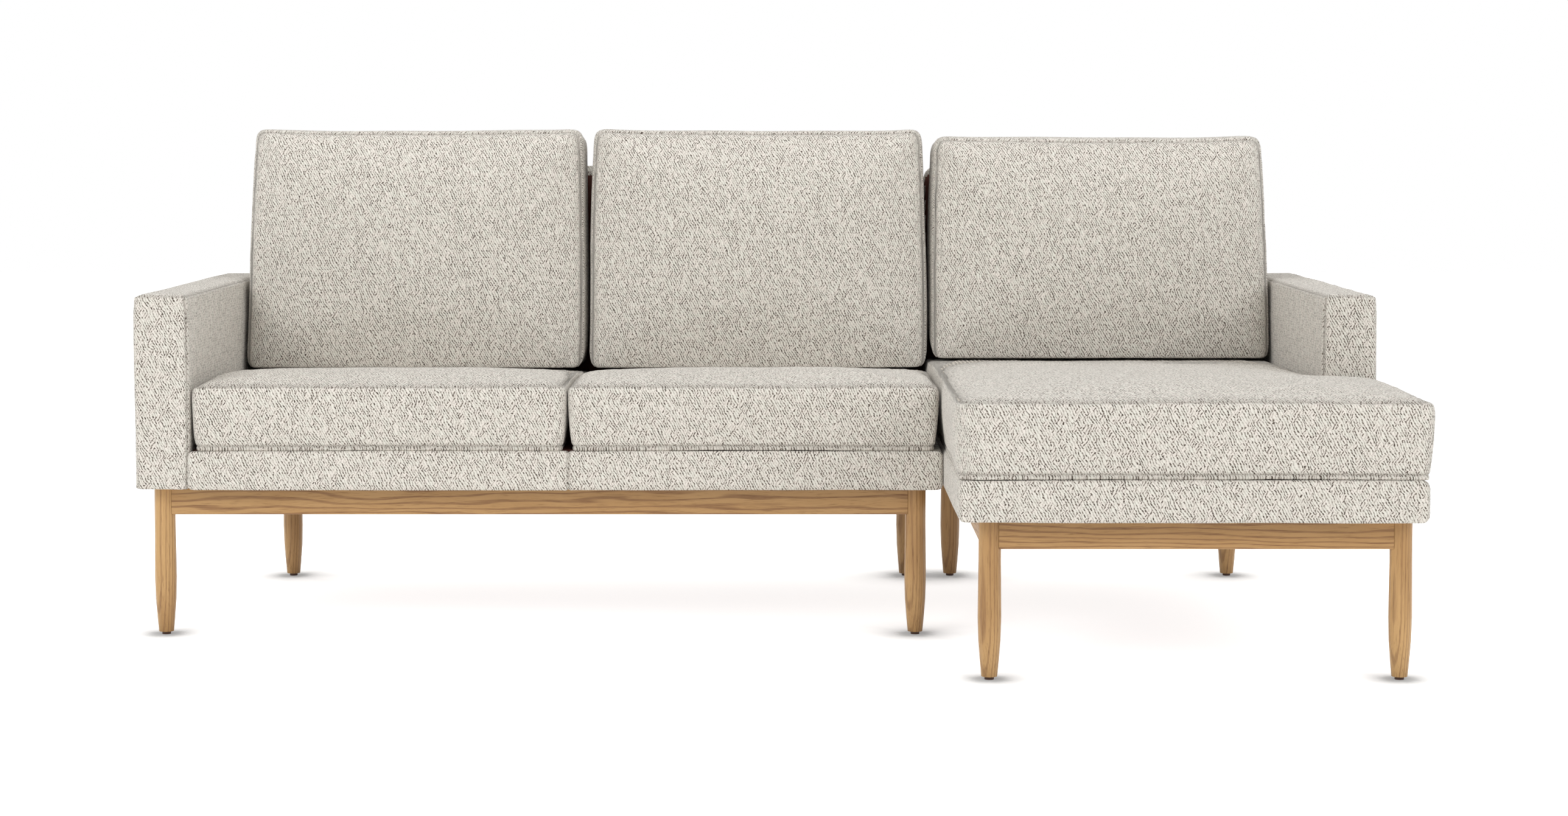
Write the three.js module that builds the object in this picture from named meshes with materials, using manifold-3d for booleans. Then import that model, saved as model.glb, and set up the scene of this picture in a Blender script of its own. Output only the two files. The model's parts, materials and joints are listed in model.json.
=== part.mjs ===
// A sectional sofa with a chaise: a two-seat settee with a left arm, beside a chaise with a right arm.
// Millimetres, +Z up. The front faces -Y, and +X is on the viewer's right. The origin is on the floor,
// under the middle of the whole sofa. While it is built, Y is 0 at the front of the arms and X is 0 between
// the arms.
import * as THREE from "three";
import { mergeVertices } from "three/addons/utils/BufferGeometryUtils.js";
import Module from "manifold-3d";

// Clearances
const GAP = 0.3; // between pieces that touch
const CUSHION_EASE = 1.2; // beside each loose cushion
const CUT_OVERRUN = 6; // how far a cut runs past the surface that it opens

// Plan of the whole sofa
const SEAT_WIDTH = 680;
const ARM_WIDTH = 100;
const BODY_DEPTH = 850;
const CHAISE_EXTENSION = 450;

// Heights of the whole sofa
const GLIDE_HEIGHT = 5;
const LEG_LENGTH = 265;
const BASE_HEIGHT = 71;
const ARM_RISE = 352; // arm's top seam above the underside of the base
const BACK_RISE = 578; // top of the fixed back above the underside of the base

// Oak legs and their glides
const GLIDE_RADIUS = 8;
const LEG_FOOT_RADIUS = 13.5;
const LEG_SWELL_RADIUS = 19.8;
const LEG_TOP_RADIUS = 18.9;
const LEG_SWELL_HEIGHT = 100; // widest place, above the foot
const LEG_NECK_LENGTH = 70; // straight stretch at the top, where rails meet the leg
const LEG_INSET_FRONT = 60;
const LEG_INSET_REAR = 75;
const SETTEE_FRONT_LEFT_INSET = 42; // from a module's nearer side to a leg's axis, here and below
const SETTEE_FRONT_RIGHT_INSET = 48;
const SETTEE_REAR_LEFT_INSET = 155;
const SETTEE_REAR_RIGHT_INSET = 36;
const CHAISE_FRONT_LEFT_INSET = 56;
const CHAISE_FRONT_RIGHT_INSET = 36;
const CHAISE_REAR_LEFT_INSET = 55;
const CHAISE_REAR_RIGHT_INSET = 151;
const LEG_CURVE_shares = [0, 0.25, 0.6, 1]; // of the swell height, from the foot up
const LEG_SIDES = 16;
const GLIDE_SIDES = 12;

// Oak rails
const OAK_RAIL_HEIGHT = 49;
const OAK_RAIL_THICKNESS = 26;
const OAK_EDGE_RADIUS = 3;

// Hidden seat frame, suspension and lining
const FRAME_THICKNESS = 25;
const FRAME_HEIGHT = 58;
const DUST_CLOTH_THICKNESS = 1.2;
const WEBBING_THICKNESS = 2.5;
const WEBBING_STRAP_WIDTH = 80;
const WEBBING_PITCH = 220;

// Padded panels round the base
const PANEL_THICKNESS = 30;
const PANEL_EDGE = 9;
const PANEL_ROUND = 4; // how far a panel's face falls away at its edge

// Arms
const ARM_CORNER_RADIUS = 8;
const ARM_EDGE = 13;
const ARM_SEAM_LIFT = 2;
const ARM_CROWN = 3;

// Fixed back
const BACK_DEPTH_AT_BASE = 174;
const BACK_DEPTH_AT_TOP = 61;
const BACK_CORNER_RADIUS = 30;
const BACK_EDGE = 24;
const BACK_SWELL = 14;

// Boards inside the arms and backs
const BOARD_THICKNESS = 25;
const BOARD_COVER = 20; // padding between a board's edges and the outer surface

// Plate that joins the two modules
const JOIN_PLATE_THICKNESS = 3;
const JOIN_PLATE_WIDTH = 60;
const JOIN_PLATE_OVERLAP = 22; // past the far side of each rail
const JOIN_PLATE_FROM_FRONT = 560;

// Seat cushions
const SEAT_CORNER_RADIUS = 14;
const SEAT_EDGE = 64; // rim over which the top panel rises most of the way from its seam
const SEAT_DRAW_IN = 3; // middle of each side, inside its corners
const SEAT_BACK_GAP = 2; // between a seat cushion and the fixed back
const SEAT_SEAM_LIFT = 3; // bottom seam above the deck
const SEAT_SEAM_HEIGHT = 117.5; // top seam above the deck
const SEAT_SEAM_FALL_START = 330; // from the cushion's front to where its top seam begins to fall
const SEAT_CROWN_HEIGHT = 138; // crown above the deck
const SEAT_CROWN_FROM_FRONT = 150;
const SEAT_CROWN_SPAN = 60;
const SEAT_FALL_share = 0.08;
const CHAISE_SEAM_HEIGHT = 129.5;
const CHAISE_SEAM_FALL_START = 780;
const CHAISE_CROWN_HEIGHT = 151;
const CHAISE_CROWN_FROM_FRONT = 330;
const CHAISE_CROWN_SPAN = 150;
const CHAISE_FALL_share = 0.04;
const CHAISE_FRONT_LEFT_RADIUS = 40; // the corner that stands free of the settee
const CHAISE_NOTCH_RADIUS = 8;
const CHAISE_CUSHION_OVERHANG = 8; // past the outer side of the base, in front of the right arm
const CHAISE_CUSHION_LAP = 7; // past the place where the modules meet
const CHAISE_NOTCH_GAP = 6; // between the chaise cushion and the front of the right arm

// Back cushions
const BACK_CUSHION_HEIGHT = 480;
const CHAISE_BACK_CUSHION_HEIGHT = 446; // this one stands on the thicker chaise cushion
const BACK_CUSHION_THICKNESS = 224;
const BACK_CUSHION_RADIUS = 26;
const BACK_CUSHION_EDGE = 42;
const BACK_CUSHION_FRONT_CROWN = 46;
const BACK_CUSHION_REAR_CROWN = 10;
const BACK_CUSHION_TOP_DRAW_IN = 4; // middle of the top edge, below its corners
const BACK_CUSHION_SIDE_SWELL = 3; // middle of each side, outside the line between its corners
const BACK_CUSHION_SHOULDER = 8; // top corners, inside the bottom ones

// Fineness of the padded forms
const SIDE_STEPS = 4;
const PLAIN_SIDE_STEPS = 3;
const ARC_STEPS = 3;
const PLAIN_ARC_STEPS = 2;
const LEAST_RADIUS = 2; // of a corner that is inset by more than its own radius

// Sizes that follow from the ones above
const RAIL_TOP = GLIDE_HEIGHT + LEG_LENGTH;
const RAIL_BOTTOM = RAIL_TOP - OAK_RAIL_HEIGHT;
const BASE_BOTTOM = RAIL_TOP + GAP;
const DECK_TOP = RAIL_TOP + BASE_HEIGHT;
const ARM_TOP_SEAM = RAIL_TOP + ARM_RISE;
const BACK_TOP = RAIL_TOP + BACK_RISE;
const FRAME_BOTTOM = BASE_BOTTOM + DUST_CLOTH_THICKNESS + GAP;
const FRAME_TOP = FRAME_BOTTOM + FRAME_HEIGHT;
const FULL_WIDTH = ARM_WIDTH + SEAT_WIDTH + SEAT_WIDTH + SEAT_WIDTH + ARM_WIDTH;
const JOINT_X = FULL_WIDTH / 2 - ARM_WIDTH - SEAT_WIDTH; // where the two modules meet
const BACK_SLOPE = (BACK_DEPTH_AT_BASE - BACK_DEPTH_AT_TOP) / BACK_RISE;
const FRAME_REAR = BODY_DEPTH - BACK_DEPTH_AT_BASE - GAP;

// How deep the fixed back is at a height
function backDepth(z) {
  return BACK_DEPTH_AT_BASE - (z - RAIL_TOP) * BACK_SLOPE;
}

// The two modules, side by side
const settee = {
  name: "settee",
  left: -FULL_WIDTH / 2,
  right: JOINT_X - GAP,
  front: 0,
  armSide: "left",
  seatLeft: -FULL_WIDTH / 2 + ARM_WIDTH,
  seatRight: JOINT_X - GAP,
  frontLeftInset: SETTEE_FRONT_LEFT_INSET,
  frontRightInset: SETTEE_FRONT_RIGHT_INSET,
  rearLeftInset: SETTEE_REAR_LEFT_INSET,
  rearRightInset: SETTEE_REAR_RIGHT_INSET,
};
const chaise = {
  name: "chaise",
  left: JOINT_X + GAP,
  right: FULL_WIDTH / 2,
  front: -CHAISE_EXTENSION,
  armSide: "right",
  seatLeft: JOINT_X + GAP,
  seatRight: FULL_WIDTH / 2 - ARM_WIDTH,
  frontLeftInset: CHAISE_FRONT_LEFT_INSET,
  frontRightInset: CHAISE_FRONT_RIGHT_INSET,
  rearLeftInset: CHAISE_REAR_LEFT_INSET,
  rearRightInset: CHAISE_REAR_RIGHT_INSET,
};

// Finishes
const boucle = new THREE.MeshStandardMaterial({ color: 0xe1dad2, roughness: 0.95, metalness: 0 });
const oak = new THREE.MeshStandardMaterial({ color: 0xbe965f, roughness: 0.5, metalness: 0 });
const glideNylon = new THREE.MeshStandardMaterial({ color: 0x2e211b, roughness: 0.6, metalness: 0 });
const frameTimber = new THREE.MeshStandardMaterial({ color: 0xc9a777, roughness: 0.8, metalness: 0 });
const webbingCloth = new THREE.MeshStandardMaterial({ color: 0x3a3633, roughness: 0.9, metalness: 0 });
const lining = new THREE.MeshStandardMaterial({ color: 0x5c3c34, roughness: 0.95, metalness: 0 });
const steel = new THREE.MeshStandardMaterial({ color: 0x8f9194, roughness: 0.4, metalness: 1 });

const wasm = await Module();
wasm.setup();

const sofa = new THREE.Group();

function add(name, geometry, material) {
  const mesh = new THREE.Mesh(geometry, material);
  mesh.name = name;
  sofa.add(mesh);
  return mesh;
}

// Booleans
function solidFrom(geometry) {
  const bare = geometry.clone();
  bare.deleteAttribute("normal");
  bare.deleteAttribute("uv");
  const merged = mergeVertices(bare);
  return new wasm.Manifold(new wasm.Mesh({
    numProp: 3,
    vertProperties: new Float32Array(merged.attributes.position.array),
    triVerts: new Uint32Array(merged.index.array),
  }));
}

function geometryFrom(solid) {
  const { vertProperties, triVerts } = solid.getMesh();
  const geometry = new THREE.BufferGeometry();
  geometry.setAttribute("position", new THREE.BufferAttribute(vertProperties, 3));
  geometry.setIndex(new THREE.BufferAttribute(triVerts, 1));
  geometry.computeVertexNormals();
  return geometry;
}

function cut(geometry, ...tools) {
  let solid = solidFrom(geometry);
  for (const tool of tools) {
    solid = solid.subtract(solidFrom(tool));
  }
  return geometryFrom(solid);
}

function join(geometries) {
  return geometryFrom(geometries.map(solidFrom).reduce((whole, solid) => whole.add(solid)));
}

// A plain box between two corners
function boxBetween(low, high) {
  const size = high.map((value, axis) => value - low[axis]);
  const geometry = new THREE.BoxGeometry(...size);
  geometry.translate(...low.map((value, axis) => value + size[axis] / 2));
  return geometry;
}

// Padded forms
// An outline's corners run anticlockwise, each as { at, radius }, and its straight sides are drawn in
// towards the inside by the amounts in drawIns, one for the side that leaves each corner.
function outlinePoints(outline, inset) {
  const { corners, drawIns, sideSteps, arcSteps } = outline;
  const count = corners.length;
  const arcs = corners.map(({ at, radius }, i) => {
    const arrive = at.clone().sub(corners[(i + count - 1) % count].at).normalize();
    const leave = corners[(i + 1) % count].at.clone().sub(at).normalize();
    const turn = Math.sign(arrive.cross(leave));
    const reach = Math.max(radius - turn * inset, LEAST_RADIUS);
    const away = reach + turn * inset;
    const centre = at.clone().addScaledVector(arrive, -away).addScaledVector(leave, away);
    const arc = [];
    for (let step = 0; step <= arcSteps; step += 1) {
      const angle = (Math.PI / 2) * (step / arcSteps);
      arc.push(centre.clone()
        .addScaledVector(leave, -Math.cos(angle) * reach)
        .addScaledVector(arrive, Math.sin(angle) * reach));
    }
    return arc;
  });
  return arcs.flatMap((arc, i) => {
    const start = arc[arc.length - 1];
    const end = arcs[(i + 1) % count][0];
    const along = end.clone().sub(start).normalize();
    const inward = new THREE.Vector2(-along.y, along.x);
    const side = [];
    for (let step = 1; step < sideSteps; step += 1) {
      const share = step / sideSteps;
      side.push(start.clone().lerp(end, share)
        .addScaledVector(inward, drawIns[i] * Math.sin(Math.PI * share)));
    }
    return [...arc, ...side];
  });
}

// A closed form of rings that run round an outline, from the middle of its low face, over the edge, to
// the middle of its high face. Each row of ringShares gives a ring's inset as a share of edge, its size as a
// share of the outline, its level from low to high, and its lift or drop as a share of the seam's.
function paddedForm({ outline, middle, edge, lift, drop, low, high, ringShares, place }) {
  const rings = ringShares.map(([insetShare, sizeShare, levelShare, seamShare]) => (
    outlinePoints(outline, insetShare * edge).map((point) => {
      const at = point.sub(middle).multiplyScalar(sizeShare).add(middle);
      const rise = levelShare < 1 ? lift * seamShare : -drop(at) * seamShare;
      return place(at.x, at.y, low(at) + (high(at) - low(at)) * levelShare + rise);
    })
  ));
  const around = rings[0].length;
  const points = [
    place(middle.x, middle.y, low(middle)),
    ...rings.flat(),
    place(middle.x, middle.y, high(middle)),
  ];
  const last = points.length - 1;
  const indices = [];
  for (let i = 0; i < around; i += 1) {
    const next = (i + 1) % around;
    indices.push(0, 1 + next, 1 + i);
    for (let ring = 0; ring + 1 < rings.length; ring += 1) {
      const below = 1 + ring * around;
      const above = below + around;
      indices.push(below + i, below + next, above + next, below + i, above + next, above + i);
    }
    indices.push(last, last - around + i, last - around + next);
  }
  const geometry = new THREE.BufferGeometry();
  geometry.setAttribute("position", new THREE.Float32BufferAttribute(points.flatMap((p) => p.toArray()), 3));
  geometry.setIndex(indices);
  geometry.computeVertexNormals();
  return geometry;
}

function rectangle(left, low, right, high, radius) {
  return [[left, low], [right, low], [right, high], [left, high]].map(([x, y]) => (
    { at: new THREE.Vector2(x, y), radius }
  ));
}

function middleOf(left, low, right, high) {
  return new THREE.Vector2((left + right) / 2, (low + high) / 2);
}

const upright = (u, v, w) => new THREE.Vector3(u, v, w);
const facingFront = (u, v, w) => new THREE.Vector3(u, -w, v);
const facingRight = (u, v, w) => new THREE.Vector3(w, u, v);
const facingLeft = (u, v, w) => new THREE.Vector3(-w, -u, v);

// Legs and glides
function legGeometry(length) {
  const swell = LEG_SWELL_HEIGHT;
  const neck = LEG_LENGTH - LEG_NECK_LENGTH;
  const gain = LEG_SWELL_RADIUS - LEG_FOOT_RADIUS;
  const taper = (share) => LEG_FOOT_RADIUS + gain * Math.sin(share * Math.PI / 2);
  const profile = [new THREE.Vector2(0, 0)];
  for (const heightShare of LEG_CURVE_shares) {
    profile.push(new THREE.Vector2(taper(heightShare), swell * heightShare));
  }
  profile.push(new THREE.Vector2(LEG_TOP_RADIUS, neck), new THREE.Vector2(LEG_TOP_RADIUS, length));
  profile.push(new THREE.Vector2(0, length));
  return new THREE.LatheGeometry(profile, LEG_SIDES).rotateX(Math.PI / 2);
}

function addLeg(module, place, x, y, top) {
  const leg = add(`${module.name}_leg_${place}`, legGeometry(top - GLIDE_HEIGHT - GAP), oak);
  leg.position.set(x, y, GLIDE_HEIGHT + GAP);
  const glideGeometry = new THREE.CylinderGeometry(GLIDE_RADIUS, GLIDE_RADIUS, GLIDE_HEIGHT, GLIDE_SIDES);
  const glide = add(`${module.name}_glide_${place}`, glideGeometry.rotateX(Math.PI / 2), glideNylon);
  glide.position.set(x, y, GLIDE_HEIGHT / 2);
}

// Oak rails run along +X before they are turned, and are hollowed where a leg's axis stands
function oakRail(start, end, legAxes) {
  const half = OAK_RAIL_THICKNESS / 2;
  const r = OAK_EDGE_RADIUS;
  const section = new THREE.Shape();
  section.moveTo(-half + r, 0);
  section.lineTo(half - r, 0);
  section.absarc(half - r, r, r, -Math.PI / 2, 0);
  section.lineTo(half, OAK_RAIL_HEIGHT - r);
  section.absarc(half - r, OAK_RAIL_HEIGHT - r, r, 0, Math.PI / 2);
  section.lineTo(-half + r, OAK_RAIL_HEIGHT);
  section.absarc(-half + r, OAK_RAIL_HEIGHT - r, r, Math.PI / 2, Math.PI);
  section.lineTo(-half, r);
  section.absarc(-half + r, r, r, Math.PI, Math.PI * 3 / 2);
  const depth = end - start;
  const bar = new THREE.ExtrudeGeometry(section, { depth, bevelEnabled: false, curveSegments: 2 });
  bar.translate(0, 0, start);
  bar.applyMatrix4(new THREE.Matrix4().makeBasis(
    new THREE.Vector3(0, 1, 0),
    new THREE.Vector3(0, 0, 1),
    new THREE.Vector3(1, 0, 0),
  ));
  const sides = LEG_SIDES;
  const hollow = (LEG_TOP_RADIUS + GAP) / Math.cos(Math.PI / sides);
  const height = OAK_RAIL_HEIGHT + CUT_OVERRUN + CUT_OVERRUN;
  return cut(bar, ...legAxes.map((x) => (
    new THREE.CylinderGeometry(hollow, hollow, height, sides)
      .rotateX(Math.PI / 2)
      .translate(x, 0, OAK_RAIL_HEIGHT / 2)
  )));
}

function addOakBase(module) {
  const leftX = module.left + module.frontLeftInset;
  const rightX = module.right - module.frontRightInset;
  const rearLeftX = module.left + module.rearLeftInset;
  const rearRightX = module.right - module.rearRightInset;
  const frontY = module.front + LEG_INSET_FRONT;
  const rearY = BODY_DEPTH - LEG_INSET_REAR;
  addLeg(module, "front_left", leftX, frontY, RAIL_TOP);
  addLeg(module, "front_right", rightX, frontY, RAIL_TOP);
  addLeg(module, "rear_left", rearLeftX, rearY, RAIL_BOTTOM - GAP);
  addLeg(module, "rear_right", rearRightX, rearY, RAIL_BOTTOM - GAP);

  const across = rightX - leftX;
  const half = OAK_RAIL_THICKNESS / 2;
  const front = add(`${module.name}_oak_rail_front`, oakRail(0, across, [0, across]), oak);
  front.position.set(leftX, frontY, RAIL_BOTTOM);
  const rearStart = Math.min(leftX - half, rearLeftX - LEG_TOP_RADIUS);
  const rearEnd = Math.max(rightX + half, rearRightX + LEG_TOP_RADIUS);
  const rear = add(`${module.name}_oak_rail_rear`, oakRail(rearStart, rearEnd, []), oak);
  rear.position.set(0, rearY, RAIL_BOTTOM);
  const along = rearY - half - GAP - frontY;
  for (const [side, x] of [["left", leftX], ["right", rightX]]) {
    const rail = add(`${module.name}_oak_rail_${side}`, oakRail(half + GAP, along, [0]), oak);
    rail.position.set(x, frontY, RAIL_BOTTOM);
    rail.rotation.z = Math.PI / 2;
  }
}

// Seat frame, webbing and linings under the deck
function addSeatFrame(module) {
  const isChaise = module.armSide === "right";
  const left = isChaise ? module.left + PANEL_THICKNESS + GAP : module.seatLeft + GAP;
  const right = isChaise ? module.seatRight - GAP : module.right - PANEL_THICKNESS - GAP;
  const front = module.front + PANEL_THICKNESS + GAP;
  const rear = FRAME_REAR;
  const piece = (place, low, high) => {
    const geometry = boxBetween([...low, FRAME_BOTTOM], [...high, FRAME_TOP]);
    add(`${module.name}_seat_frame_${place}`, geometry, frameTimber);
  };
  piece("front", [left, front], [right, front + FRAME_THICKNESS]);
  piece("rear", [left, rear - FRAME_THICKNESS], [right, rear]);
  const innerFront = front + FRAME_THICKNESS + GAP;
  const innerRear = rear - FRAME_THICKNESS - GAP;
  piece("left", [left, innerFront], [left + FRAME_THICKNESS, innerRear]);
  piece("right", [right - FRAME_THICKNESS, innerFront], [right, innerRear]);
  if (isChaise) {
    const outer = module.right - PANEL_THICKNESS - GAP;
    piece("outer", [right + GAP, front], [outer, -GAP - ARM_CORNER_RADIUS]);
  } else {
    const centre = (left + right) / 2;
    const half = FRAME_THICKNESS / 2;
    piece("centre", [centre - half, innerFront], [centre + half, innerRear]);
  }
  const dust = boxBetween([left, front, BASE_BOTTOM], [right, rear, BASE_BOTTOM + DUST_CLOTH_THICKNESS]);
  add(`${module.name}_dust_cloth`, dust, lining);
  add(`${module.name}_webbing`, webbingGeometry(left, front, right, rear), webbingCloth);
  const deckBottom = FRAME_TOP + GAP + WEBBING_THICKNESS + GAP;
  add(`${module.name}_deck_pad`, boxBetween([left, front, deckBottom], [right, rear, DECK_TOP]), lining);
}

// Straps that cross at right angles, as one net
function webbingGeometry(left, front, right, rear) {
  const bottom = FRAME_TOP + GAP;
  const top = bottom + WEBBING_THICKNESS;
  const strapPlaces = (from, to) => {
    const room = to - from - WEBBING_STRAP_WIDTH;
    const count = Math.max(1, Math.round(room / WEBBING_PITCH));
    return Array.from({ length: count + 1 }, (_, i) => from + (room * i) / count);
  };
  const straps = [
    ...strapPlaces(left, right).map((x) => (
      boxBetween([x, front, bottom], [x + WEBBING_STRAP_WIDTH, rear, top])
    )),
    ...strapPlaces(front, rear).map((y) => (
      boxBetween([left, y, bottom], [right, y + WEBBING_STRAP_WIDTH, top])
    )),
  ];
  return join(straps);
}

// Padded panels round the base
const panelRingShares = [
  [0.3, 1, 0, 0], [0, 1, 0.3, 0], [0, 1, 1, 1], [0.35, 1, 1, 0.4], [1, 1, 1, 0],
];

function panelGeometry(from, to, place) {
  return paddedForm({
    outline: {
      corners: rectangle(from, BASE_BOTTOM, to, DECK_TOP, PANEL_EDGE + GAP),
      drawIns: [0, 0, 0, 0],
      sideSteps: PLAIN_SIDE_STEPS,
      arcSteps: PLAIN_ARC_STEPS,
    },
    middle: middleOf(from, BASE_BOTTOM, to, DECK_TOP),
    edge: PANEL_EDGE,
    lift: 0,
    drop: () => PANEL_ROUND,
    low: () => 0,
    high: () => PANEL_THICKNESS,
    ringShares: panelRingShares,
    place,
  });
}

function addBasePanels(module) {
  const isChaise = module.armSide === "right";
  const frontLeft = isChaise ? module.left : module.seatLeft + GAP;
  const frontGeometry = panelGeometry(frontLeft, module.right, facingFront);
  const front = add(`${module.name}_base_panel_front`, frontGeometry, boucle);
  front.position.y = module.front + PANEL_THICKNESS;
  const sideFront = module.front + PANEL_THICKNESS + GAP;
  if (isChaise) {
    // a panel that faces left runs the other way along its outline, so its ends change sign
    const left = add("chaise_base_panel_left", panelGeometry(-FRAME_REAR, -sideFront, facingLeft), boucle);
    left.position.x = module.left + PANEL_THICKNESS;
    const right = add("chaise_base_panel_right", panelGeometry(sideFront, -GAP, facingRight), boucle);
    right.position.x = module.right - PANEL_THICKNESS;
  } else {
    const right = add("settee_base_panel_right", panelGeometry(sideFront, FRAME_REAR, facingRight), boucle);
    right.position.x = module.right - PANEL_THICKNESS;
  }
}

// Arms: a padded cover, open below, over an upright board
const armRingShares = [
  [1, 1, 0, 0], [0.2, 1, 0, 1], [0, 1, 0.35, 0], [0, 1, 0.8, 0],
  [0.2, 1, 1, 1], [0.55, 1, 1, 0.45], [1, 1, 1, 0.12], [1, 0.55, 1, 0],
];

function addArm(module) {
  const side = module.armSide;
  const left = side === "left" ? module.left : module.right - ARM_WIDTH;
  const right = left + ARM_WIDTH;
  const middle = middleOf(left, 0, right, BODY_DEPTH);
  const crownTop = ARM_TOP_SEAM + ARM_CROWN;
  const cover = paddedForm({
    outline: {
      corners: rectangle(left, 0, right, BODY_DEPTH, ARM_CORNER_RADIUS),
      drawIns: [0, 0, 0, 0],
      sideSteps: PLAIN_SIDE_STEPS,
      arcSteps: ARC_STEPS,
    },
    middle,
    edge: ARM_EDGE,
    lift: ARM_SEAM_LIFT,
    drop: () => ARM_CROWN,
    low: () => BASE_BOTTOM,
    high: () => crownTop,
    ringShares: armRingShares,
    place: upright,
  });
  const boardLow = [middle.x - BOARD_THICKNESS / 2, BOARD_COVER, BASE_BOTTOM + GAP];
  const boardHigh = [middle.x + BOARD_THICKNESS / 2, BODY_DEPTH - BOARD_COVER, ARM_TOP_SEAM - BOARD_COVER];
  const slot = boxBetween(
    [boardLow[0] - GAP, boardLow[1] - GAP, BASE_BOTTOM - CUT_OVERRUN],
    boardHigh.map((value) => value + GAP),
  );
  add(`${side}_arm_cover`, cut(cover, slot), boucle);
  add(`${side}_arm_board`, boxBetween(boardLow, boardHigh), frameTimber);
}

// Fixed backs: a padded cover, open below, over an upright board
const backRingShares = [
  [1, 0.5, 0, 0], [0.9, 1, 0, 0.1], [0.4, 1, 0, 0.5], [0, 1, 0, 1],
  [0, 1, 1, 1], [0.4, 1, 1, 0.5], [0.9, 1, 1, 0.1], [1, 0.5, 1, 0],
];

function addBack(module) {
  const left = module.armSide === "left" ? module.seatLeft + GAP : module.seatLeft;
  const right = module.armSide === "right" ? module.seatRight - GAP : module.seatRight;
  const cover = paddedForm({
    outline: {
      corners: rectangle(left, BASE_BOTTOM, right, BACK_TOP, BACK_CORNER_RADIUS),
      drawIns: [0, 0, 0, 0],
      sideSteps: PLAIN_SIDE_STEPS,
      arcSteps: ARC_STEPS,
    },
    middle: middleOf(left, BASE_BOTTOM, right, BACK_TOP),
    edge: BACK_EDGE,
    lift: BACK_SWELL,
    drop: () => BACK_SWELL,
    low: () => 0,
    high: (at) => backDepth(at.y),
    ringShares: backRingShares,
    place: (u, v, w) => new THREE.Vector3(u, BODY_DEPTH - w, v),
  });
  const rear = BODY_DEPTH - BOARD_COVER;
  const boardLow = [left + BOARD_COVER, rear - BOARD_THICKNESS, BASE_BOTTOM + GAP];
  const boardHigh = [right - BOARD_COVER, rear, BACK_TOP - BOARD_COVER];
  const slot = boxBetween(
    [boardLow[0] - GAP, boardLow[1] - GAP, BASE_BOTTOM - CUT_OVERRUN],
    boardHigh.map((value) => value + GAP),
  );
  add(`${module.name}_back_cover`, cut(cover, slot), boucle);
  add(`${module.name}_back_board`, boxBetween(boardLow, boardHigh), frameTimber);
}

// Seat cushions: a boxed cushion with a level top seam, whose crown falls away towards the back
const seatRingShares = [
  [1, 1, 0, 0], [0.16, 1, 0, 0.8], [0.07, 1, 0.25, 0], [0, 1, 0.78, 0],
  [0.03, 1, 1, 1], [0.14, 1, 1, 0.74], [0.5, 1, 1, 0.42], [1, 1, 1, 0.22],
  [1, 0.8, 1, 0.08], [1, 0.55, 1, 0.01], [1, 0.28, 1, 0],
];
const CUSHION_BOTTOM = DECK_TOP + GAP;

function crownLine(seat, y) {
  const away = y - seat.front - seat.crownFromFront;
  const fall = seat.fallShare * (Math.hypot(seat.crownSpan, away) - seat.crownSpan);
  return CUSHION_BOTTOM + seat.crownHeight - fall;
}

// The top seam stays level, and then falls as steeply as the crown does
function seamLine(seat, y) {
  const away = Math.max(y - seat.front - seat.seamFallStart, 0);
  const fall = seat.fallShare * (Math.hypot(seat.crownSpan, away) - seat.crownSpan);
  return CUSHION_BOTTOM + seat.seamHeight - fall;
}

const seatRear = BODY_DEPTH - backDepth(DECK_TOP) - SEAT_BACK_GAP;
const seatCrown = {
  front: settee.front,
  seamHeight: SEAT_SEAM_HEIGHT,
  seamFallStart: SEAT_SEAM_FALL_START,
  crownHeight: SEAT_CROWN_HEIGHT,
  crownFromFront: SEAT_CROWN_FROM_FRONT,
  crownSpan: SEAT_CROWN_SPAN,
  fallShare: SEAT_FALL_share,
};
const chaiseCrown = {
  front: chaise.front,
  seamHeight: CHAISE_SEAM_HEIGHT,
  seamFallStart: CHAISE_SEAM_FALL_START,
  crownHeight: CHAISE_CROWN_HEIGHT,
  crownFromFront: CHAISE_CROWN_FROM_FRONT,
  crownSpan: CHAISE_CROWN_SPAN,
  fallShare: CHAISE_FALL_share,
};

function addSeatCushion(name, corners, middle, crown) {
  const geometry = paddedForm({
    outline: {
      corners,
      drawIns: corners.map(() => SEAT_DRAW_IN),
      sideSteps: SIDE_STEPS,
      arcSteps: ARC_STEPS,
    },
    middle,
    edge: SEAT_EDGE,
    lift: SEAT_SEAM_LIFT,
    drop: (at) => crownLine(crown, at.y) - seamLine(crown, at.y),
    low: () => CUSHION_BOTTOM,
    high: (at) => crownLine(crown, at.y),
    ringShares: seatRingShares,
    place: upright,
  });
  add(name, geometry, boucle);
}

const firstSeatLeft = settee.seatLeft;
const middleSeatLeft = firstSeatLeft + SEAT_WIDTH;
const chaiseSeatLeft = middleSeatLeft + SEAT_WIDTH - CHAISE_CUSHION_LAP;

// The chaise cushion is an L: its short leg runs in front of the right arm
function chaiseCorners() {
  const left = chaiseSeatLeft + CUSHION_EASE;
  const inner = chaise.seatRight - CUSHION_EASE;
  const outer = chaise.right + CHAISE_CUSHION_OVERHANG;
  const notch = -CHAISE_NOTCH_GAP;
  const at = (x, y, radius) => ({ at: new THREE.Vector2(x, y), radius });
  return [
    at(left, chaise.front, CHAISE_FRONT_LEFT_RADIUS),
    at(outer, chaise.front, SEAT_CORNER_RADIUS),
    at(outer, notch, SEAT_CORNER_RADIUS),
    at(inner, notch, CHAISE_NOTCH_RADIUS),
    at(inner, seatRear, SEAT_CORNER_RADIUS),
    at(left, seatRear, SEAT_CORNER_RADIUS),
  ];
}

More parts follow.
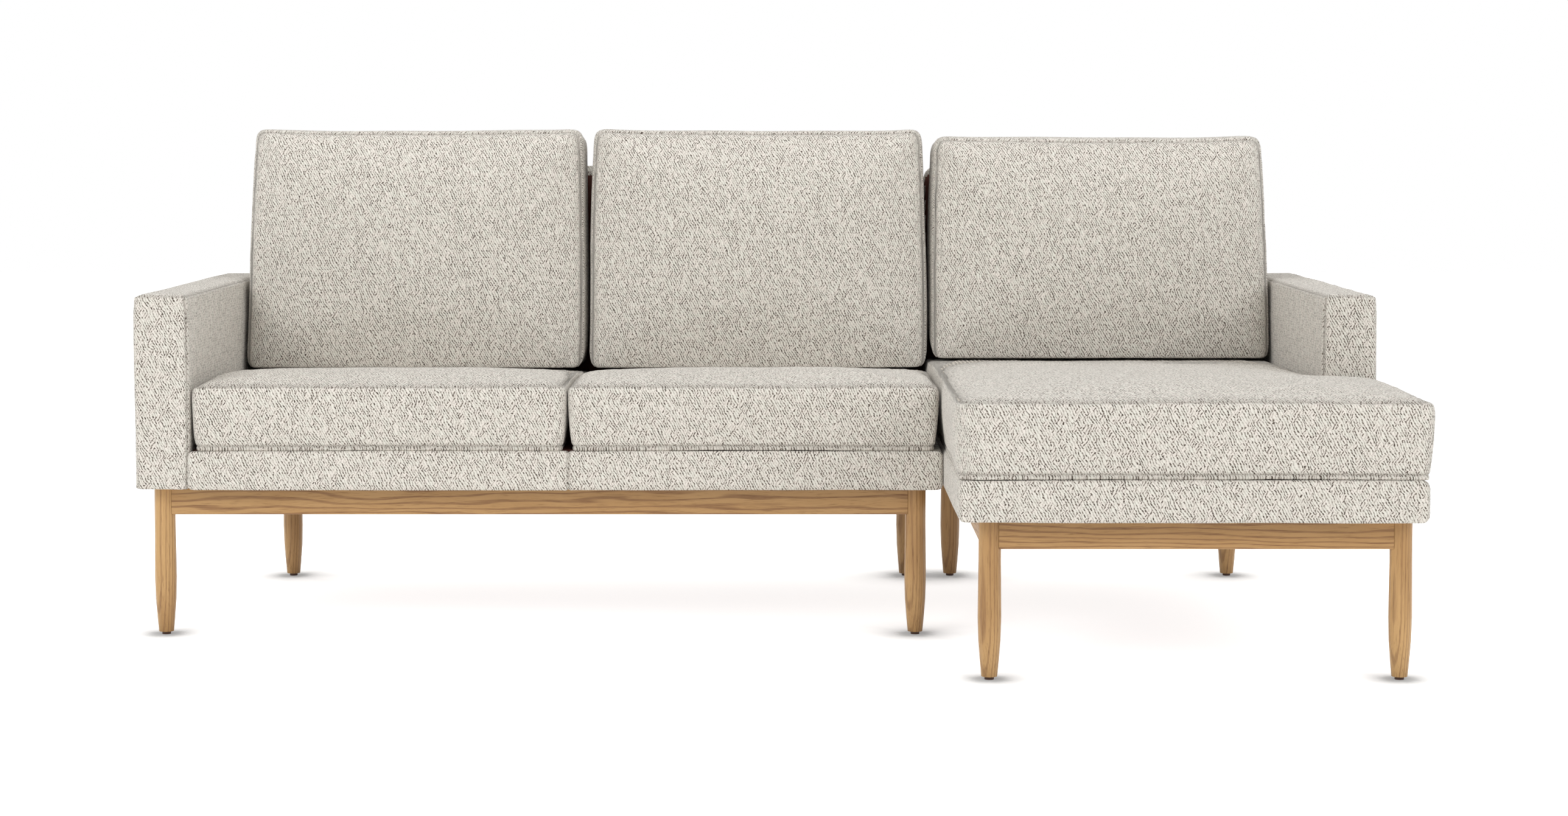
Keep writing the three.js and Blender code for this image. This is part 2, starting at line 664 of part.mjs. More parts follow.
// Back cushions: boxed, with a full front, flat below where they stand on the seat, leaning on the fixed back
const backCushionRingShares = [
  [1, 1, 0, 0.3], [0.35, 1, 0, 0.7], [0.12, 1, 0, 1], [0, 1, 0.75, 0],
  [0.12, 1, 1, 1], [0.25, 1, 1, 0.82], [0.55, 1, 1, 0.62], [1, 1, 1, 0.44],
  [1, 0.8, 1, 0.22], [1, 0.5, 1, 0.06], [1, 0.25, 1, 0],
];

function addBackCushion(name, left, right, height, crown) {
  const rise = new THREE.Vector2(BACK_SLOPE, 1).normalize();
  const depthAxis = new THREE.Vector2(-1, crown.fallShare).normalize();
  // the rear lower edge lies where the cushion's rear plane meets the seat's crown line
  let rearY = BODY_DEPTH - backDepth(DECK_TOP);
  for (let pass = 0; pass < 4; pass += 1) {
    rearY = BODY_DEPTH - backDepth(crownLine(crown, rearY)) - GAP - GAP;
  }
  const frontY = rearY - BACK_CUSHION_THICKNESS;
  const frontRise = crownLine(crown, frontY) - crownLine(crown, rearY);
  const slack = frontRise - BACK_CUSHION_THICKNESS * crown.fallShare;
  const rearZ = crownLine(crown, rearY) + Math.max(slack, 0) + GAP + GAP;
  const corners = rectangle(left, 0, right, height, BACK_CUSHION_RADIUS);
  for (const { at } of corners) {
    at.x += (at.y / height) * BACK_CUSHION_SHOULDER * Math.sign(left + right - at.x - at.x);
  }
  const geometry = paddedForm({
    outline: {
      corners,
      drawIns: [0, -BACK_CUSHION_SIDE_SWELL, BACK_CUSHION_TOP_DRAW_IN, -BACK_CUSHION_SIDE_SWELL],
      sideSteps: SIDE_STEPS,
      arcSteps: ARC_STEPS,
    },
    middle: middleOf(left, 0, right, height),
    edge: BACK_CUSHION_EDGE,
    lift: BACK_CUSHION_REAR_CROWN,
    drop: () => BACK_CUSHION_FRONT_CROWN,
    low: () => 0,
    high: () => BACK_CUSHION_THICKNESS,
    ringShares: backCushionRingShares,
    place: (u, v, w) => new THREE.Vector3(
      u,
      rearY + v * rise.x + w * depthAxis.x,
      rearZ + v * rise.y + w * depthAxis.y,
    ),
  });
  add(name, geometry, boucle);
}

// Assembly
for (const module of [settee, chaise]) {
  addOakBase(module);
  addSeatFrame(module);
  addBasePanels(module);
  addArm(module);
  addBack(module);
}

const joinLow = [
  settee.right - settee.frontRightInset - JOIN_PLATE_OVERLAP,
  JOIN_PLATE_FROM_FRONT,
  RAIL_BOTTOM - GAP - JOIN_PLATE_THICKNESS,
];
const joinHigh = [
  chaise.left + chaise.frontLeftInset + JOIN_PLATE_OVERLAP,
  JOIN_PLATE_FROM_FRONT + JOIN_PLATE_WIDTH,
  RAIL_BOTTOM - GAP,
];
add("joining_plate", boxBetween(joinLow, joinHigh), steel);

const seatPlaces = [
  ["left", firstSeatLeft, middleSeatLeft],
  ["middle", middleSeatLeft, chaiseSeatLeft],
];
for (const [place, left, right] of seatPlaces) {
  const corners = rectangle(
    left + CUSHION_EASE, 0, right - CUSHION_EASE, seatRear, SEAT_CORNER_RADIUS,
  );
  addSeatCushion(`seat_cushion_${place}`, corners, middleOf(left, 0, right, seatRear), seatCrown);
}
const chaiseMiddle = middleOf(chaise.left, chaise.front, chaise.seatRight, 0);
addSeatCushion("chaise_cushion", chaiseCorners(), chaiseMiddle, chaiseCrown);

const backCushions = [
  ["left", BACK_CUSHION_HEIGHT, seatCrown],
  ["middle", BACK_CUSHION_HEIGHT, seatCrown],
  ["right", CHAISE_BACK_CUSHION_HEIGHT, chaiseCrown],
];
backCushions.forEach(([place, height, crown], i) => {
  const left = firstSeatLeft + SEAT_WIDTH * i + CUSHION_EASE;
  const right = firstSeatLeft + SEAT_WIDTH * (i + 1) - CUSHION_EASE;
  addBackCushion(`back_cushion_${place}`, left, right, height, crown);
});

// The origin goes to the middle of the floor area
const bounds = new THREE.Box3().setFromObject(sofa);
const centre = bounds.getCenter(new THREE.Vector3());
sofa.position.set(-centre.x, -centre.y, -bounds.min.z);

export default sofa;
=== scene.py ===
# %% [markdown]
# # A sectional sofa with a chaise
# The real sofa is two modules that stand side by side: a two-seat settee and a chaise. Each has a frame of
# hardwood, a base of oak, a track arm, a fixed back and loose cushions. The measured solids of every piece
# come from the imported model, which this script loads first and never moves. What the script adds is what a
# maker would call the finish: cloth, seams, thread, grain and light.

# %% Load the fixed frame
import json
import math

import bmesh
import bpy
import numpy as np
from mathutils import Matrix, Vector, noise


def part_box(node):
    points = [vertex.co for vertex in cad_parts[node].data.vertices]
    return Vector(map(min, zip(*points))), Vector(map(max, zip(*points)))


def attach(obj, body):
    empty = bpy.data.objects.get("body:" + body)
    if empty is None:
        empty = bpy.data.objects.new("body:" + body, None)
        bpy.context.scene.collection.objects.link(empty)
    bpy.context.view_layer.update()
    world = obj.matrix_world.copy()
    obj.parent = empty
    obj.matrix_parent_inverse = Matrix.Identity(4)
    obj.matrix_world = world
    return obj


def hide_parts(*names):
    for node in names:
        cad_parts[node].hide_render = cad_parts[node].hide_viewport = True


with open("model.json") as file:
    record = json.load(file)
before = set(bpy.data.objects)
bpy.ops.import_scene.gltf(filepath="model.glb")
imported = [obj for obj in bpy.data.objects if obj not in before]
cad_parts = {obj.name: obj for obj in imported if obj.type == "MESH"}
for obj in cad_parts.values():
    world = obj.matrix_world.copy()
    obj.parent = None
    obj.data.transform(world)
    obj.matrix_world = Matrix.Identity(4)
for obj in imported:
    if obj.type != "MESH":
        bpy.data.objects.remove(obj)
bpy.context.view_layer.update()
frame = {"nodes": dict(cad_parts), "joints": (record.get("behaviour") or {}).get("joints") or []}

# %% [markdown]
# ## The camera
# A photograph of furniture is taken from far away with a long lens, so that the seat doesn't loom. The focal
# length is known here in pixels of the photograph, and a lens on a 36 mm sensor follows from it. A small
# vertical shift does part of the work of tilting down, which keeps the uprights of the sofa upright.

# %% Place the camera
PHOTO_WIDTH = 2576
FOCAL_PIXELS = 4817
SENSOR_WIDTH = 36
CAMERA_PLACE = (0.0503, -5.4615, 0.9105)
LOOK_DOWN = math.radians(3.485)
TURN_LEFT = math.radians(0.025)
LENS_SHIFT = 0.06

camera_data = bpy.data.cameras.new("camera")
camera_data.sensor_width = SENSOR_WIDTH
camera_data.lens = SENSOR_WIDTH * FOCAL_PIXELS / PHOTO_WIDTH
camera_data.shift_y = -LENS_SHIFT
scene = bpy.context.scene


def new_object(name, data):
    made = bpy.data.objects.new(name, data)
    scene.collection.objects.link(made)
    return made


camera = new_object("camera", camera_data)
camera.location = CAMERA_PLACE
camera.rotation_euler = (math.pi / 2 - LOOK_DOWN, 0, TURN_LEFT)
scene.camera = camera
scene.view_settings.view_transform = "Standard"
print("lens", round(camera_data.lens, 2), "mm")

# %% [markdown]
# ## Small tools for node trees
# A material in Blender is a graph of nodes. These helpers add a node, set its values and draw its wires, so
# that each material below reads as a recipe instead of as wiring.


# %% Tools for nodes
def feed(socket, value):
    """Joins a socket to another one, or sets it to a plain value."""
    if isinstance(value, bpy.types.NodeSocket):
        socket.id_data.links.new(value, socket)
    else:
        socket.default_value = value


def add_node(tree, kind, given=(), **settings):
    """A node, given a list for its first inputs or a dictionary for inputs by name or number."""
    made = tree.nodes.new(kind)
    for name, value in settings.items():
        setattr(made, name, value)
    for label, value in given.items() if isinstance(given, dict) else enumerate(given):
        feed(made.inputs[label], value)
    return made


def maths(tree, operation, *values):
    return add_node(tree, "ShaderNodeMath", values, operation=operation).outputs[0]


def plus(tree, first, second):
    return maths(tree, "ADD", first, second)


def minus(tree, first, second):
    return maths(tree, "SUBTRACT", first, second)


def times(tree, first, second):
    return maths(tree, "MULTIPLY", first, second)


def vector_maths(tree, operation, *values):
    return add_node(tree, "ShaderNodeVectorMath", values, operation=operation).outputs[0]


def remap(tree, value, low, high, new_low=0.0, new_high=1.0):
    """Spreads a value from one span to another, held at both ends, with a soft start and stop."""
    given = (value, low, high, new_low, new_high)
    return add_node(tree, "ShaderNodeMapRange", given, interpolation_type="SMOOTHSTEP").outputs[0]


MIX_AMOUNT, MIX_FIRST, MIX_SECOND, MIX_RESULT = 0, 6, 7, 2


def blend_colours(tree, amount, first, second):
    given = {MIX_AMOUNT: amount, MIX_FIRST: first, MIX_SECOND: second}
    return add_node(tree, "ShaderNodeMix", given, data_type="RGBA").outputs[MIX_RESULT]


def noise_texture(tree, vector, scale, detail=2.0, roughness=0.5):
    given = {"Vector": vector, "Scale": scale, "Detail": detail, "Roughness": roughness}
    return add_node(tree, "ShaderNodeTexNoise", given).outputs


def noise_value(tree, vector, *settings):
    return noise_texture(tree, vector, *settings)[0]


def combine(tree, x, y, z=0.0):
    return add_node(tree, "ShaderNodeCombineXYZ", (x, y, z)).outputs[0]


def split(tree, vector):
    return add_node(tree, "ShaderNodeSeparateXYZ", [vector]).outputs


def new_group(name, inputs, outputs, kind="Shader"):
    """An empty group: inputs are (name, kind, value) and outputs are (name, kind)."""
    tree = bpy.data.node_groups.new(name, kind + "NodeTree")
    for label, holds, value in inputs:
        socket = tree.interface.new_socket(label, in_out="INPUT", socket_type="NodeSocket" + holds)
        if value is not None:
            socket.default_value = value
    for label, holds in outputs:
        tree.interface.new_socket(label, in_out="OUTPUT", socket_type="NodeSocket" + holds)
    return tree, tree.nodes.new("NodeGroupInput").outputs, tree.nodes.new("NodeGroupOutput").inputs


def new_material(name, roughness, **constants):
    """A material with a Principled shader, whose plain numbers sit on the shader's own sockets."""
    material = bpy.data.materials.new(name)
    material.use_nodes = True
    tree = material.node_tree
    shader = tree.nodes["Principled BSDF"]
    shader.inputs["Roughness"].default_value = roughness
    for label, value in constants.items():
        shader.inputs[label.replace("_", " ")].default_value = value
    return material, tree, shader.inputs


def place_group(tree, group, **values):
    given = {label.replace("_", " "): value for label, value in values.items()}
    return add_node(tree, "ShaderNodeGroup", given, node_tree=group).outputs


def srgb(red, green, blue):
    """A colour as a paint chart gives it, from 0 to 255, turned to the linear light that shaders use."""
    def linear(value):
        share = value / 255
        return share / 12.92 if share <= 0.04045 else ((share + 0.055) / 1.055) ** 2.4
    return (linear(red), linear(green), linear(blue), 1.0)


def bump(tree, shader, height, distance, strength):
    given = {"Height": height, "Distance": distance, "Strength": strength}
    feed(shader["Normal"], add_node(tree, "ShaderNodeBump", given).outputs[0])


def object_place(tree):
    """Where a point lies on its object, in metres."""
    return add_node(tree, "ShaderNodeTexCoord").outputs["Object"]


def turned_place(tree, turn):
    given = {"Vector": object_place(tree), "Rotation": turn}
    return add_node(tree, "ShaderNodeMapping", given).outputs[0]


def seen_straight(tree):
    """1 where the camera, a mirror or a glass looks, and 0 where light only bounces."""
    seen = add_node(tree, "ShaderNodeLightPath").outputs
    mirrored = maths(tree, "MAXIMUM", seen["Is Camera Ray"], seen["Is Glossy Ray"])
    return maths(tree, "MAXIMUM", mirrored, seen["Is Transmission Ray"])


# %% [markdown]
# ## The weave of the upholstery
# The cloth is a chunky boucle: fat loops of pale yarn, with short dark gaps between them that lean mostly one
# way. The dark of a gap is partly the darker yarn down there and partly painted shade of the hollow between
# the loops. The pattern is built like a wall of bricks. Each brick is one loop and holds one gap, every row
# is shifted by half a loop, and a white noise gives each brick three numbers of its own: where its gap lies,
# how dark it is, and which way it leans. Two soft noises push the whole wall about first, because a loom
# isn't a ruler. The pattern runs on a map of the cloth in metres, which each cushion gets later, so that
# every panel shows the weave at its real size.

# %% Boucle weave group
LOOP_WIDTH = 0.0050
ROW_HEIGHT = 0.0046
GAP_LEAN = 0.5
LEAN_BALANCE = 0.52
GAP_WANDER = 0.34
SLOW_DRIFT = 0.008
QUICK_DRIFT = 0.003


def drift(tree, vector, scale, reach):
    """A soft push to and fro, as a vector around zero."""
    pushed = noise_texture(tree, vector, scale, 1)["Color"]
    centred = vector_maths(tree, "SUBTRACT", pushed, (0.5, 0.5, 0.5))
    return vector_maths(tree, "MULTIPLY", centred, (reach,) * 3)


def make_weave_group():
    tree, given, result = new_group(
        "boucle weave",
        [("Cloth", "Vector", None)],
        [(label, "Float") for label in ("Gap", "Fleck", "Shade", "Tint", "Height")],
    )
    cloth = given["Cloth"]
    moved = vector_maths(tree, "ADD", cloth, drift(tree, cloth, 34, SLOW_DRIFT))
    moved = vector_maths(tree, "ADD", moved, drift(tree, cloth, 130, QUICK_DRIFT))
    across, along, _ = split(tree, moved)
    rows = maths(tree, "DIVIDE", along, ROW_HEIGHT)
    row = maths(tree, "FLOOR", rows)
    up = minus(tree, minus(tree, rows, row), 0.5)
    columns = plus(tree, maths(tree, "DIVIDE", across, LOOP_WIDTH), times(tree, row, 0.5))
    column = maths(tree, "FLOOR", columns)
    aside = minus(tree, minus(tree, columns, column), 0.5)
    brick = {"Vector": combine(tree, column, row)}
    chance = add_node(tree, "ShaderNodeTexWhiteNoise", brick, noise_dimensions="2D")
    first, second, third = split(tree, chance.outputs["Color"])

    patches = noise_value(tree, cloth, 75, 2)
    way = maths(tree, "GREATER_THAN", plus(tree, patches, times(tree, first, 0.2)), LEAN_BALANCE)
    lean = times(tree, minus(tree, 0.5, way), GAP_LEAN * 2)
    middle = plus(tree, times(tree, lean, up), times(tree, minus(tree, second, 0.5), GAP_WANDER))
    far = maths(tree, "ABSOLUTE", minus(tree, aside, middle))
    sides = remap(tree, far, 0.06, 0.32, 1.0, 0.0)
    ends = remap(tree, maths(tree, "ABSOLUTE", up), 0.3, 0.55, 1.0, 0.0)
    gap = times(tree, times(tree, sides, ends), remap(tree, third, 0.0, 0.7, 0.35, 1.0))
    fibre = noise_value(tree, vector_maths(tree, "MULTIPLY", moved, (1600, 700, 1)), 1, 1)
    feed(result["Gap"], gap)
    feed(result["Fleck"], times(tree, gap, remap(tree, third, 0.8, 1.0)))
    feed(result["Shade"], plus(tree, times(tree, first, 0.4), times(tree, fibre, 0.6)))
    feed(result["Tint"], remap(tree, patches, 0.35, 0.65))
    feed(result["Height"], plus(tree, minus(tree, 1.0, gap), times(tree, fibre, 0.25)))
    return tree


weave_group = make_weave_group()
print("weave group", len(weave_group.nodes), "nodes")

# %% [markdown]
# The cloth's material mixes its yarn colours by the masks of the group. Wool scatters light at grazing
# angles, which is what the sheen of the Principled shader is for. The attribute "painted_seam_shade" is set
# along every seam later, and paints shade into the cloth's colour where it turns inwards and would hold
# less light.

# %% Boucle material
YARN_ROSY = srgb(238, 230, 222)
YARN_GREEN = srgb(233, 232, 222)
YARN_SHADE = srgb(208, 202, 192)
# The colour in the gaps: partly darker yarn, partly painted shade of the hollows between loops.
GAP_YARN_AND_SHADE = srgb(108, 97, 87)
# The colour of the dark flecks, which also serves as the painted shade along the seams.
FLECK_AND_SEAM_SHADE = srgb(76, 66, 58)
SEAM_SHADE_STRENGTH = 0.36


def make_boucle():
    material, tree, shader = new_material(
        "boucle_cloth", 0.92, Sheen_Weight=0.25, Sheen_Roughness=0.4, Specular_IOR_Level=0.2,
    )
    cloth = add_node(tree, "ShaderNodeUVMap", uv_map="cloth").outputs[0]
    weave = place_group(tree, weave_group, Cloth=cloth)
    light = blend_colours(tree, weave["Tint"], YARN_ROSY, YARN_GREEN)
    yarn = blend_colours(tree, weave["Shade"], YARN_SHADE, light)
    woven = blend_colours(tree, weave["Gap"], yarn, GAP_YARN_AND_SHADE)
    flecked = blend_colours(tree, weave["Fleck"], woven, FLECK_AND_SEAM_SHADE)
    # Painted shade: the colour darkens towards the fleck colour along the seams.
    painted_seam_shade = add_node(tree, "ShaderNodeAttribute", attribute_name="painted_seam_shade").outputs["Fac"]
    shaded = blend_colours(tree, times(tree, painted_seam_shade, SEAM_SHADE_STRENGTH), flecked, FLECK_AND_SEAM_SHADE)
    feed(shader["Base Color"], shaded)
    bump(tree, shader, weave["Height"], 0.001, 0.8)
    return material


boucle = make_boucle()

# %% [markdown]
# ## Oak
# The grain of a board is a slice through rings. Seen along the board, the rings are long lines that wander,
# and now and then close into arches. A noise that is stretched far along the board bends a set of even
# bands, and the dark late wood keeps only the crests of those bands. Oak also has open pores, short dark
# strokes that a much finer noise gives. The group takes coordinates whose Z runs along the board, so the
# legs use the object's own coordinates and the rails turn them with a Mapping node.

# %% Oak grain group
def make_grain_group():
    tree, given, result = new_group(
        "oak grain",
        [("Vector", "Vector", None), ("Ring Gap", "Float", 0.009),
         ("Waviness", "Float", 0.02)],
        [("Late Wood", "Float"), ("Pores", "Float"), ("Tone", "Float")],
    )

    def drawn_out(share):
        return vector_maths(tree, "MULTIPLY", given["Vector"], (1, 1, share))

    bend = noise_value(tree, drawn_out(0.11), 16, 3, 0.55)
    x, y, _ = split(tree, given["Vector"])
    slope = plus(tree, times(tree, x, 0.75), times(tree, y, 0.9))
    pushed = plus(tree, slope, times(tree, bend, given["Waviness"]))
    turns = maths(tree, "DIVIDE", pushed, given["Ring Gap"])
    wave = maths(tree, "SINE", times(tree, turns, math.tau))
    late = remap(tree, wave, 0.1, 1.0)
    fine = noise_value(tree, drawn_out(0.035), 900, 2, 0.6)
    feed(result["Late Wood"], times(tree, late, remap(tree, fine, 0.3, 0.6, 0.55, 1.0)))
    feed(result["Pores"], remap(tree, fine, 0.56, 0.72))
    feed(result["Tone"], noise_value(tree, drawn_out(0.2), 22, 2))
    return tree


grain_group = make_grain_group()

# %% [markdown]
# Legs and rails are the same wood, cut the same way but laid in three directions. One function makes the
# three materials. The rails' colour is pulled a little towards the late wood, as painted shade that makes
# them darker than the legs. The lacquer is thin: it lifts the shine a little and leaves the pores dull.

# %% Oak materials
OAK_LIGHT = srgb(196, 156, 104)
OAK_MIDDLE = srgb(174, 134, 85)
OAK_LATE = srgb(126, 87, 53)
OAK_PORE = srgb(102, 68, 42)


def make_oak(name, turn, ring_gap, waviness, late_amount, painted_shade=0.0):
    material, tree, shader = new_material(name, 0.45, Specular_IOR_Level=0.4)
    grain = place_group(
        tree, grain_group, Vector=turned_place(tree, turn), Ring_Gap=ring_gap, Waviness=waviness,
    )
    # Painted shade: a share of the late wood's colour darkens the light wood.
    light = blend_colours(tree, painted_shade, OAK_LIGHT, OAK_LATE)
    body = blend_colours(tree, remap(tree, grain["Tone"], 0.35, 0.65), OAK_MIDDLE, light)
    late = blend_colours(tree, times(tree, grain["Late Wood"], late_amount), body, OAK_LATE)
    pored = blend_colours(tree, times(tree, grain["Pores"], 0.5), late, OAK_PORE)
    feed(shader["Base Color"], pored)
    feed(shader["Roughness"], remap(tree, grain["Pores"], 0.0, 1.0, 0.42, 0.7))
    bump(tree, shader, minus(tree, 1.0, grain["Pores"]), 0.0002, 0.5)
    return material


UPRIGHT = (0, 0, 0)
ACROSS = (0, math.pi / 2, 0)
ALONG = (math.pi / 2, 0, 0)
oak_upright = make_oak("oak_upright", UPRIGHT, 0.0062, 0.016, 0.55)
# The rails take 0.22 of painted shade, which makes them darker than the legs.
oak_across = make_oak("oak_across", ACROSS, 0.0085, 0.05, 0.8, 0.22)
oak_along = make_oak("oak_along", ALONG, 0.0085, 0.05, 0.7, 0.22)

# %% [markdown]
# ## What is under the cloth
# The parts that nobody sees still deserve a true finish, because a cushion can be lifted off. The seat
# frame is plain sawn hardwood, the straps are woven black and brown, the deck and the dust cloth are a dark
# brown lining, and the plate that joins the two modules is zinc-plated steel.


# %% Plain materials
def make_timber():
    material, tree, shader = new_material("sawn_timber", 0.8)
    place = turned_place(tree, ACROSS)
    grain = place_group(tree, grain_group, Vector=place, Ring_Gap=0.014, Waviness=0.03)
    body = blend_colours(tree, grain["Tone"], srgb(196, 162, 112), srgb(214, 184, 138))
    late = times(tree, grain["Late Wood"], 0.5)
    feed(shader["Base Color"], blend_colours(tree, late, body, srgb(163, 122, 76)))
    bump(tree, shader, grain["Pores"], 0.0003, 0.6)
    return material


def make_woven(name, light, dark, thread):
    """A plain weave: two sets of threads that pass over and under each other."""
    material, tree, shader = new_material(name, 0.9, Specular_IOR_Level=0.2)
    place = object_place(tree)
    scaled = vector_maths(tree, "MULTIPLY", place, (math.pi / thread,) * 3)
    x, y, z = split(tree, scaled)
    upward = plus(tree, y, z)
    warp = maths(tree, "ABSOLUTE", maths(tree, "SINE", x))
    weft = maths(tree, "ABSOLUTE", maths(tree, "SINE", upward))
    woven = times(tree, warp, weft)
    dust = noise_value(tree, place, 60, 2)
    clean = times(tree, woven, remap(tree, dust, 0.2, 0.8, 0.6, 1.0))
    feed(shader["Base Color"], blend_colours(tree, clean, dark, light))
    bump(tree, shader, woven, 0.0004, 0.7)
    return material


def make_glide():
    material, tree, shader = new_material("dark_nylon", 0.5)
    place = object_place(tree)
    wear = noise_value(tree, place, 350, 3, 0.6)
    feed(shader["Base Color"], blend_colours(tree, wear, srgb(58, 36, 26), srgb(96, 64, 46)))
    feed(shader["Roughness"], remap(tree, wear, 0.3, 0.7, 0.42, 0.66))
    bump(tree, shader, wear, 0.0001, 0.5)
    return material


def make_steel():
    material, tree, shader = new_material("zinc_plate", 0.4, Metallic=1.0)
    place = object_place(tree)
    spangle = noise_value(tree, place, 120, 1)
    scratches = noise_value(tree, vector_maths(tree, "MULTIPLY", place, (0.05, 1, 1)), 2200, 1)
    feed(shader["Base Color"], blend_colours(tree, spangle, srgb(142, 144, 148), srgb(182, 184, 186)))
    feed(shader["Roughness"], remap(tree, scratches, 0.3, 0.7, 0.32, 0.5))
    bump(tree, shader, scratches, 0.00005, 0.4)
    return material


sawn_timber = make_timber()
strap_cloth = make_woven("strap_cloth", srgb(70, 64, 58), srgb(34, 30, 28), 0.0022)
lining_cloth = make_woven("lining_cloth", srgb(128, 83, 72), srgb(84, 52, 45), 0.0012)
dark_nylon = make_glide()
zinc_plate = make_steel()

# %% [markdown]
# Every solid of the frame that stays in view takes its finish here, by the words in its name.

# %% Dress the solids of the frame
FINISHES = [
    ("_glide_", dark_nylon), ("_leg_", oak_upright), ("oak_rail_front", oak_across),
    ("oak_rail_rear", oak_across), ("_oak_rail_", oak_along), ("seat_frame", sawn_timber),
    ("_board", sawn_timber), ("webbing", strap_cloth), ("deck_pad", lining_cloth),
    ("dust_cloth", lining_cloth), ("joining_plate", zinc_plate),
]


def finish_of(name):
    for word, material in FINISHES:
        if word in name:
            return material
    return boucle


def dress(piece, *materials):
    piece.data.materials.clear()
    for material in materials:
        piece.data.materials.append(material)


for name, node in frame["nodes"].items():
    dress(node, finish_of(name))
print("solids dressed", len(frame["nodes"]))

# %% [markdown]
# ## From a measured solid to something soft
# The measured solids have a few hundred flat faces each, which is enough for weight and contact. Cloth
# needs many small, even faces. A voxel remesh gives them: it fills the solid with little cubes and wraps a
# new skin round those. A little smoothing then takes the steps of the cubes away. Numbers move between
# Blender and numpy in one go here, because a loop over every vertex in Python would be slow.

# %% Mesh tools
WELD = 0.00002


def read(items, name, width=1, kind=float):
    """One property of every vertex, edge, corner or face, as an array."""
    flat = np.empty(len(items) * width, kind)
    items.foreach_get(name, flat)
    return flat.reshape(-1, width) if width > 1 else flat


def points_of(piece):
    return read(piece.data.vertices, "co", 3)


def place_points(piece, points):
    piece.data.vertices.foreach_set("co", np.ascontiguousarray(points).ravel())
    piece.data.update()


def reshape(piece, change):
    """Moves every point of a piece to where the change puts it."""
    place_points(piece, change(points_of(piece)))


def outward_of(piece):
    return read(piece.data.vertex_normals, "vector", 3)


def faces_of(piece):
    """The middle of every face, and the way that it faces."""
    return read(piece.data.polygons, "center", 3), read(piece.data.polygons, "normal", 3)


def keep_modifiers(piece):
    """Turns what the modifiers show into the piece's own mesh."""
    graph = bpy.context.evaluated_depsgraph_get()
    made = bpy.data.meshes.new_from_object(piece.evaluated_get(graph))
    old = piece.data
    piece.modifiers.clear()
    piece.data = made
    bpy.data.meshes.remove(old)


def skin_of(node_name, to_local=None, as_hull=False):
    """A welded copy of a measured solid. A hull leaves out the slot that a board stands in."""
    made = bmesh.new()
    made.from_mesh(frame["nodes"][node_name].data)
    bmesh.ops.remove_doubles(made, verts=made.verts, dist=WELD)
    if as_hull:
        hull = bmesh.ops.convex_hull(made, input=made.verts)
        spare = [part for part in hull["geom_interior"] if isinstance(part, bmesh.types.BMVert)]
        bmesh.ops.delete(made, geom=spare, context="VERTS")
        inner = [face for face in made.faces if face not in set(hull["geom"])]
        bmesh.ops.delete(made, geom=inner, context="FACES_ONLY")
    bmesh.ops.recalc_face_normals(made, faces=made.faces)
    if to_local is not None:
        made.transform(to_local)
    mesh = bpy.data.meshes.new(node_name + "_cloth")
    made.to_mesh(mesh)
    made.free()
    return new_object(node_name + "_cloth", mesh)


def reskin(piece, cell, rounds):
    """Even cells of the given size, smoothed a number of rounds."""
    remesh = piece.modifiers.new("even cells", "REMESH")
    remesh.mode = "VOXEL"
    remesh.voxel_size = cell
    ease = piece.modifiers.new("ease", "SMOOTH")
    ease.factor = 0.5
    ease.iterations = rounds
    keep_modifiers(piece)


def inset(piece, depth):
    reshape(piece, lambda points: points - outward_of(piece) * depth)


def room_of(piece):
    """The two far corners of a piece's box."""
    points = points_of(piece)
    return points.min(axis=0), points.max(axis=0)


def fit_to(piece, low, high):
    """Stretches a piece along each axis until it fills the given room."""
    least, most = room_of(piece)
    reshape(piece, lambda points: low + (points - least) * ((high - low) / (most - least)))


def refine(piece):
    finer = piece.modifiers.new("finer", "SUBSURF")
    finer.levels = 1
    finer.render_levels = 1
    keep_modifiers(piece)


# %% [markdown]
# ## Stuffing the cushions
# A stuffed cushion is a bag of cloth under pressure. Blender's cloth simulation has exactly that: a pressure
# that pushes the skin outwards while its threads resist. The underside is held, because it lies on the
# deck, and the seams are held in part, because two layers of cloth and a tape stretch less than one. All
# cushions are stuffed in the same few frames, so that the processor's cores share the work. A cap
# afterwards limits how far any point has gone, which keeps a cushion in the room that it really has.

# %% Stuffing
STUFFING_FRAMES = 16
STUFFING = {
    "use_pressure": True, "uniform_pressure_force": 4.0, "vertex_group_mass": "held", "quality": 4,
    "mass": 0.3, "tension_stiffness": 18, "compression_stiffness": 18, "shear_stiffness": 6,
    "bending_stiffness": 1.5, "air_damping": 2,
}
SEAM_HOLD, SEAM_HOLD_REACH = 0.45, 0.012
HOLD_STEPS = 8


def hold(piece, weights):
    """Stores how firmly each vertex is held, from 0 to 1, in a few steps."""
    group = piece.vertex_groups.new(name="held")
    steps = np.clip(np.round(weights * HOLD_STEPS), 0, HOLD_STEPS).astype(int)
    for step in range(1, HOLD_STEPS + 1):
        chosen = np.nonzero(steps == step)[0]
        if len(chosen):
            group.add(chosen.tolist(), step / HOLD_STEPS, "REPLACE")


def add_stuffing(piece):
    cloth = piece.modifiers.new("stuffing", "CLOTH")
    for label, value in STUFFING.items():
        setattr(cloth.settings, label, value)
    cloth.settings.effector_weights.gravity = 0
    cloth.point_cache.frame_start = 1
    cloth.point_cache.frame_end = STUFFING_FRAMES


def capped(move, cap):
    """Shortens each move smoothly, so that none is longer than its cap."""
    length = np.linalg.norm(move, axis=1, keepdims=True) + 1e-9
    return move * (cap * np.tanh(length / cap) / length)


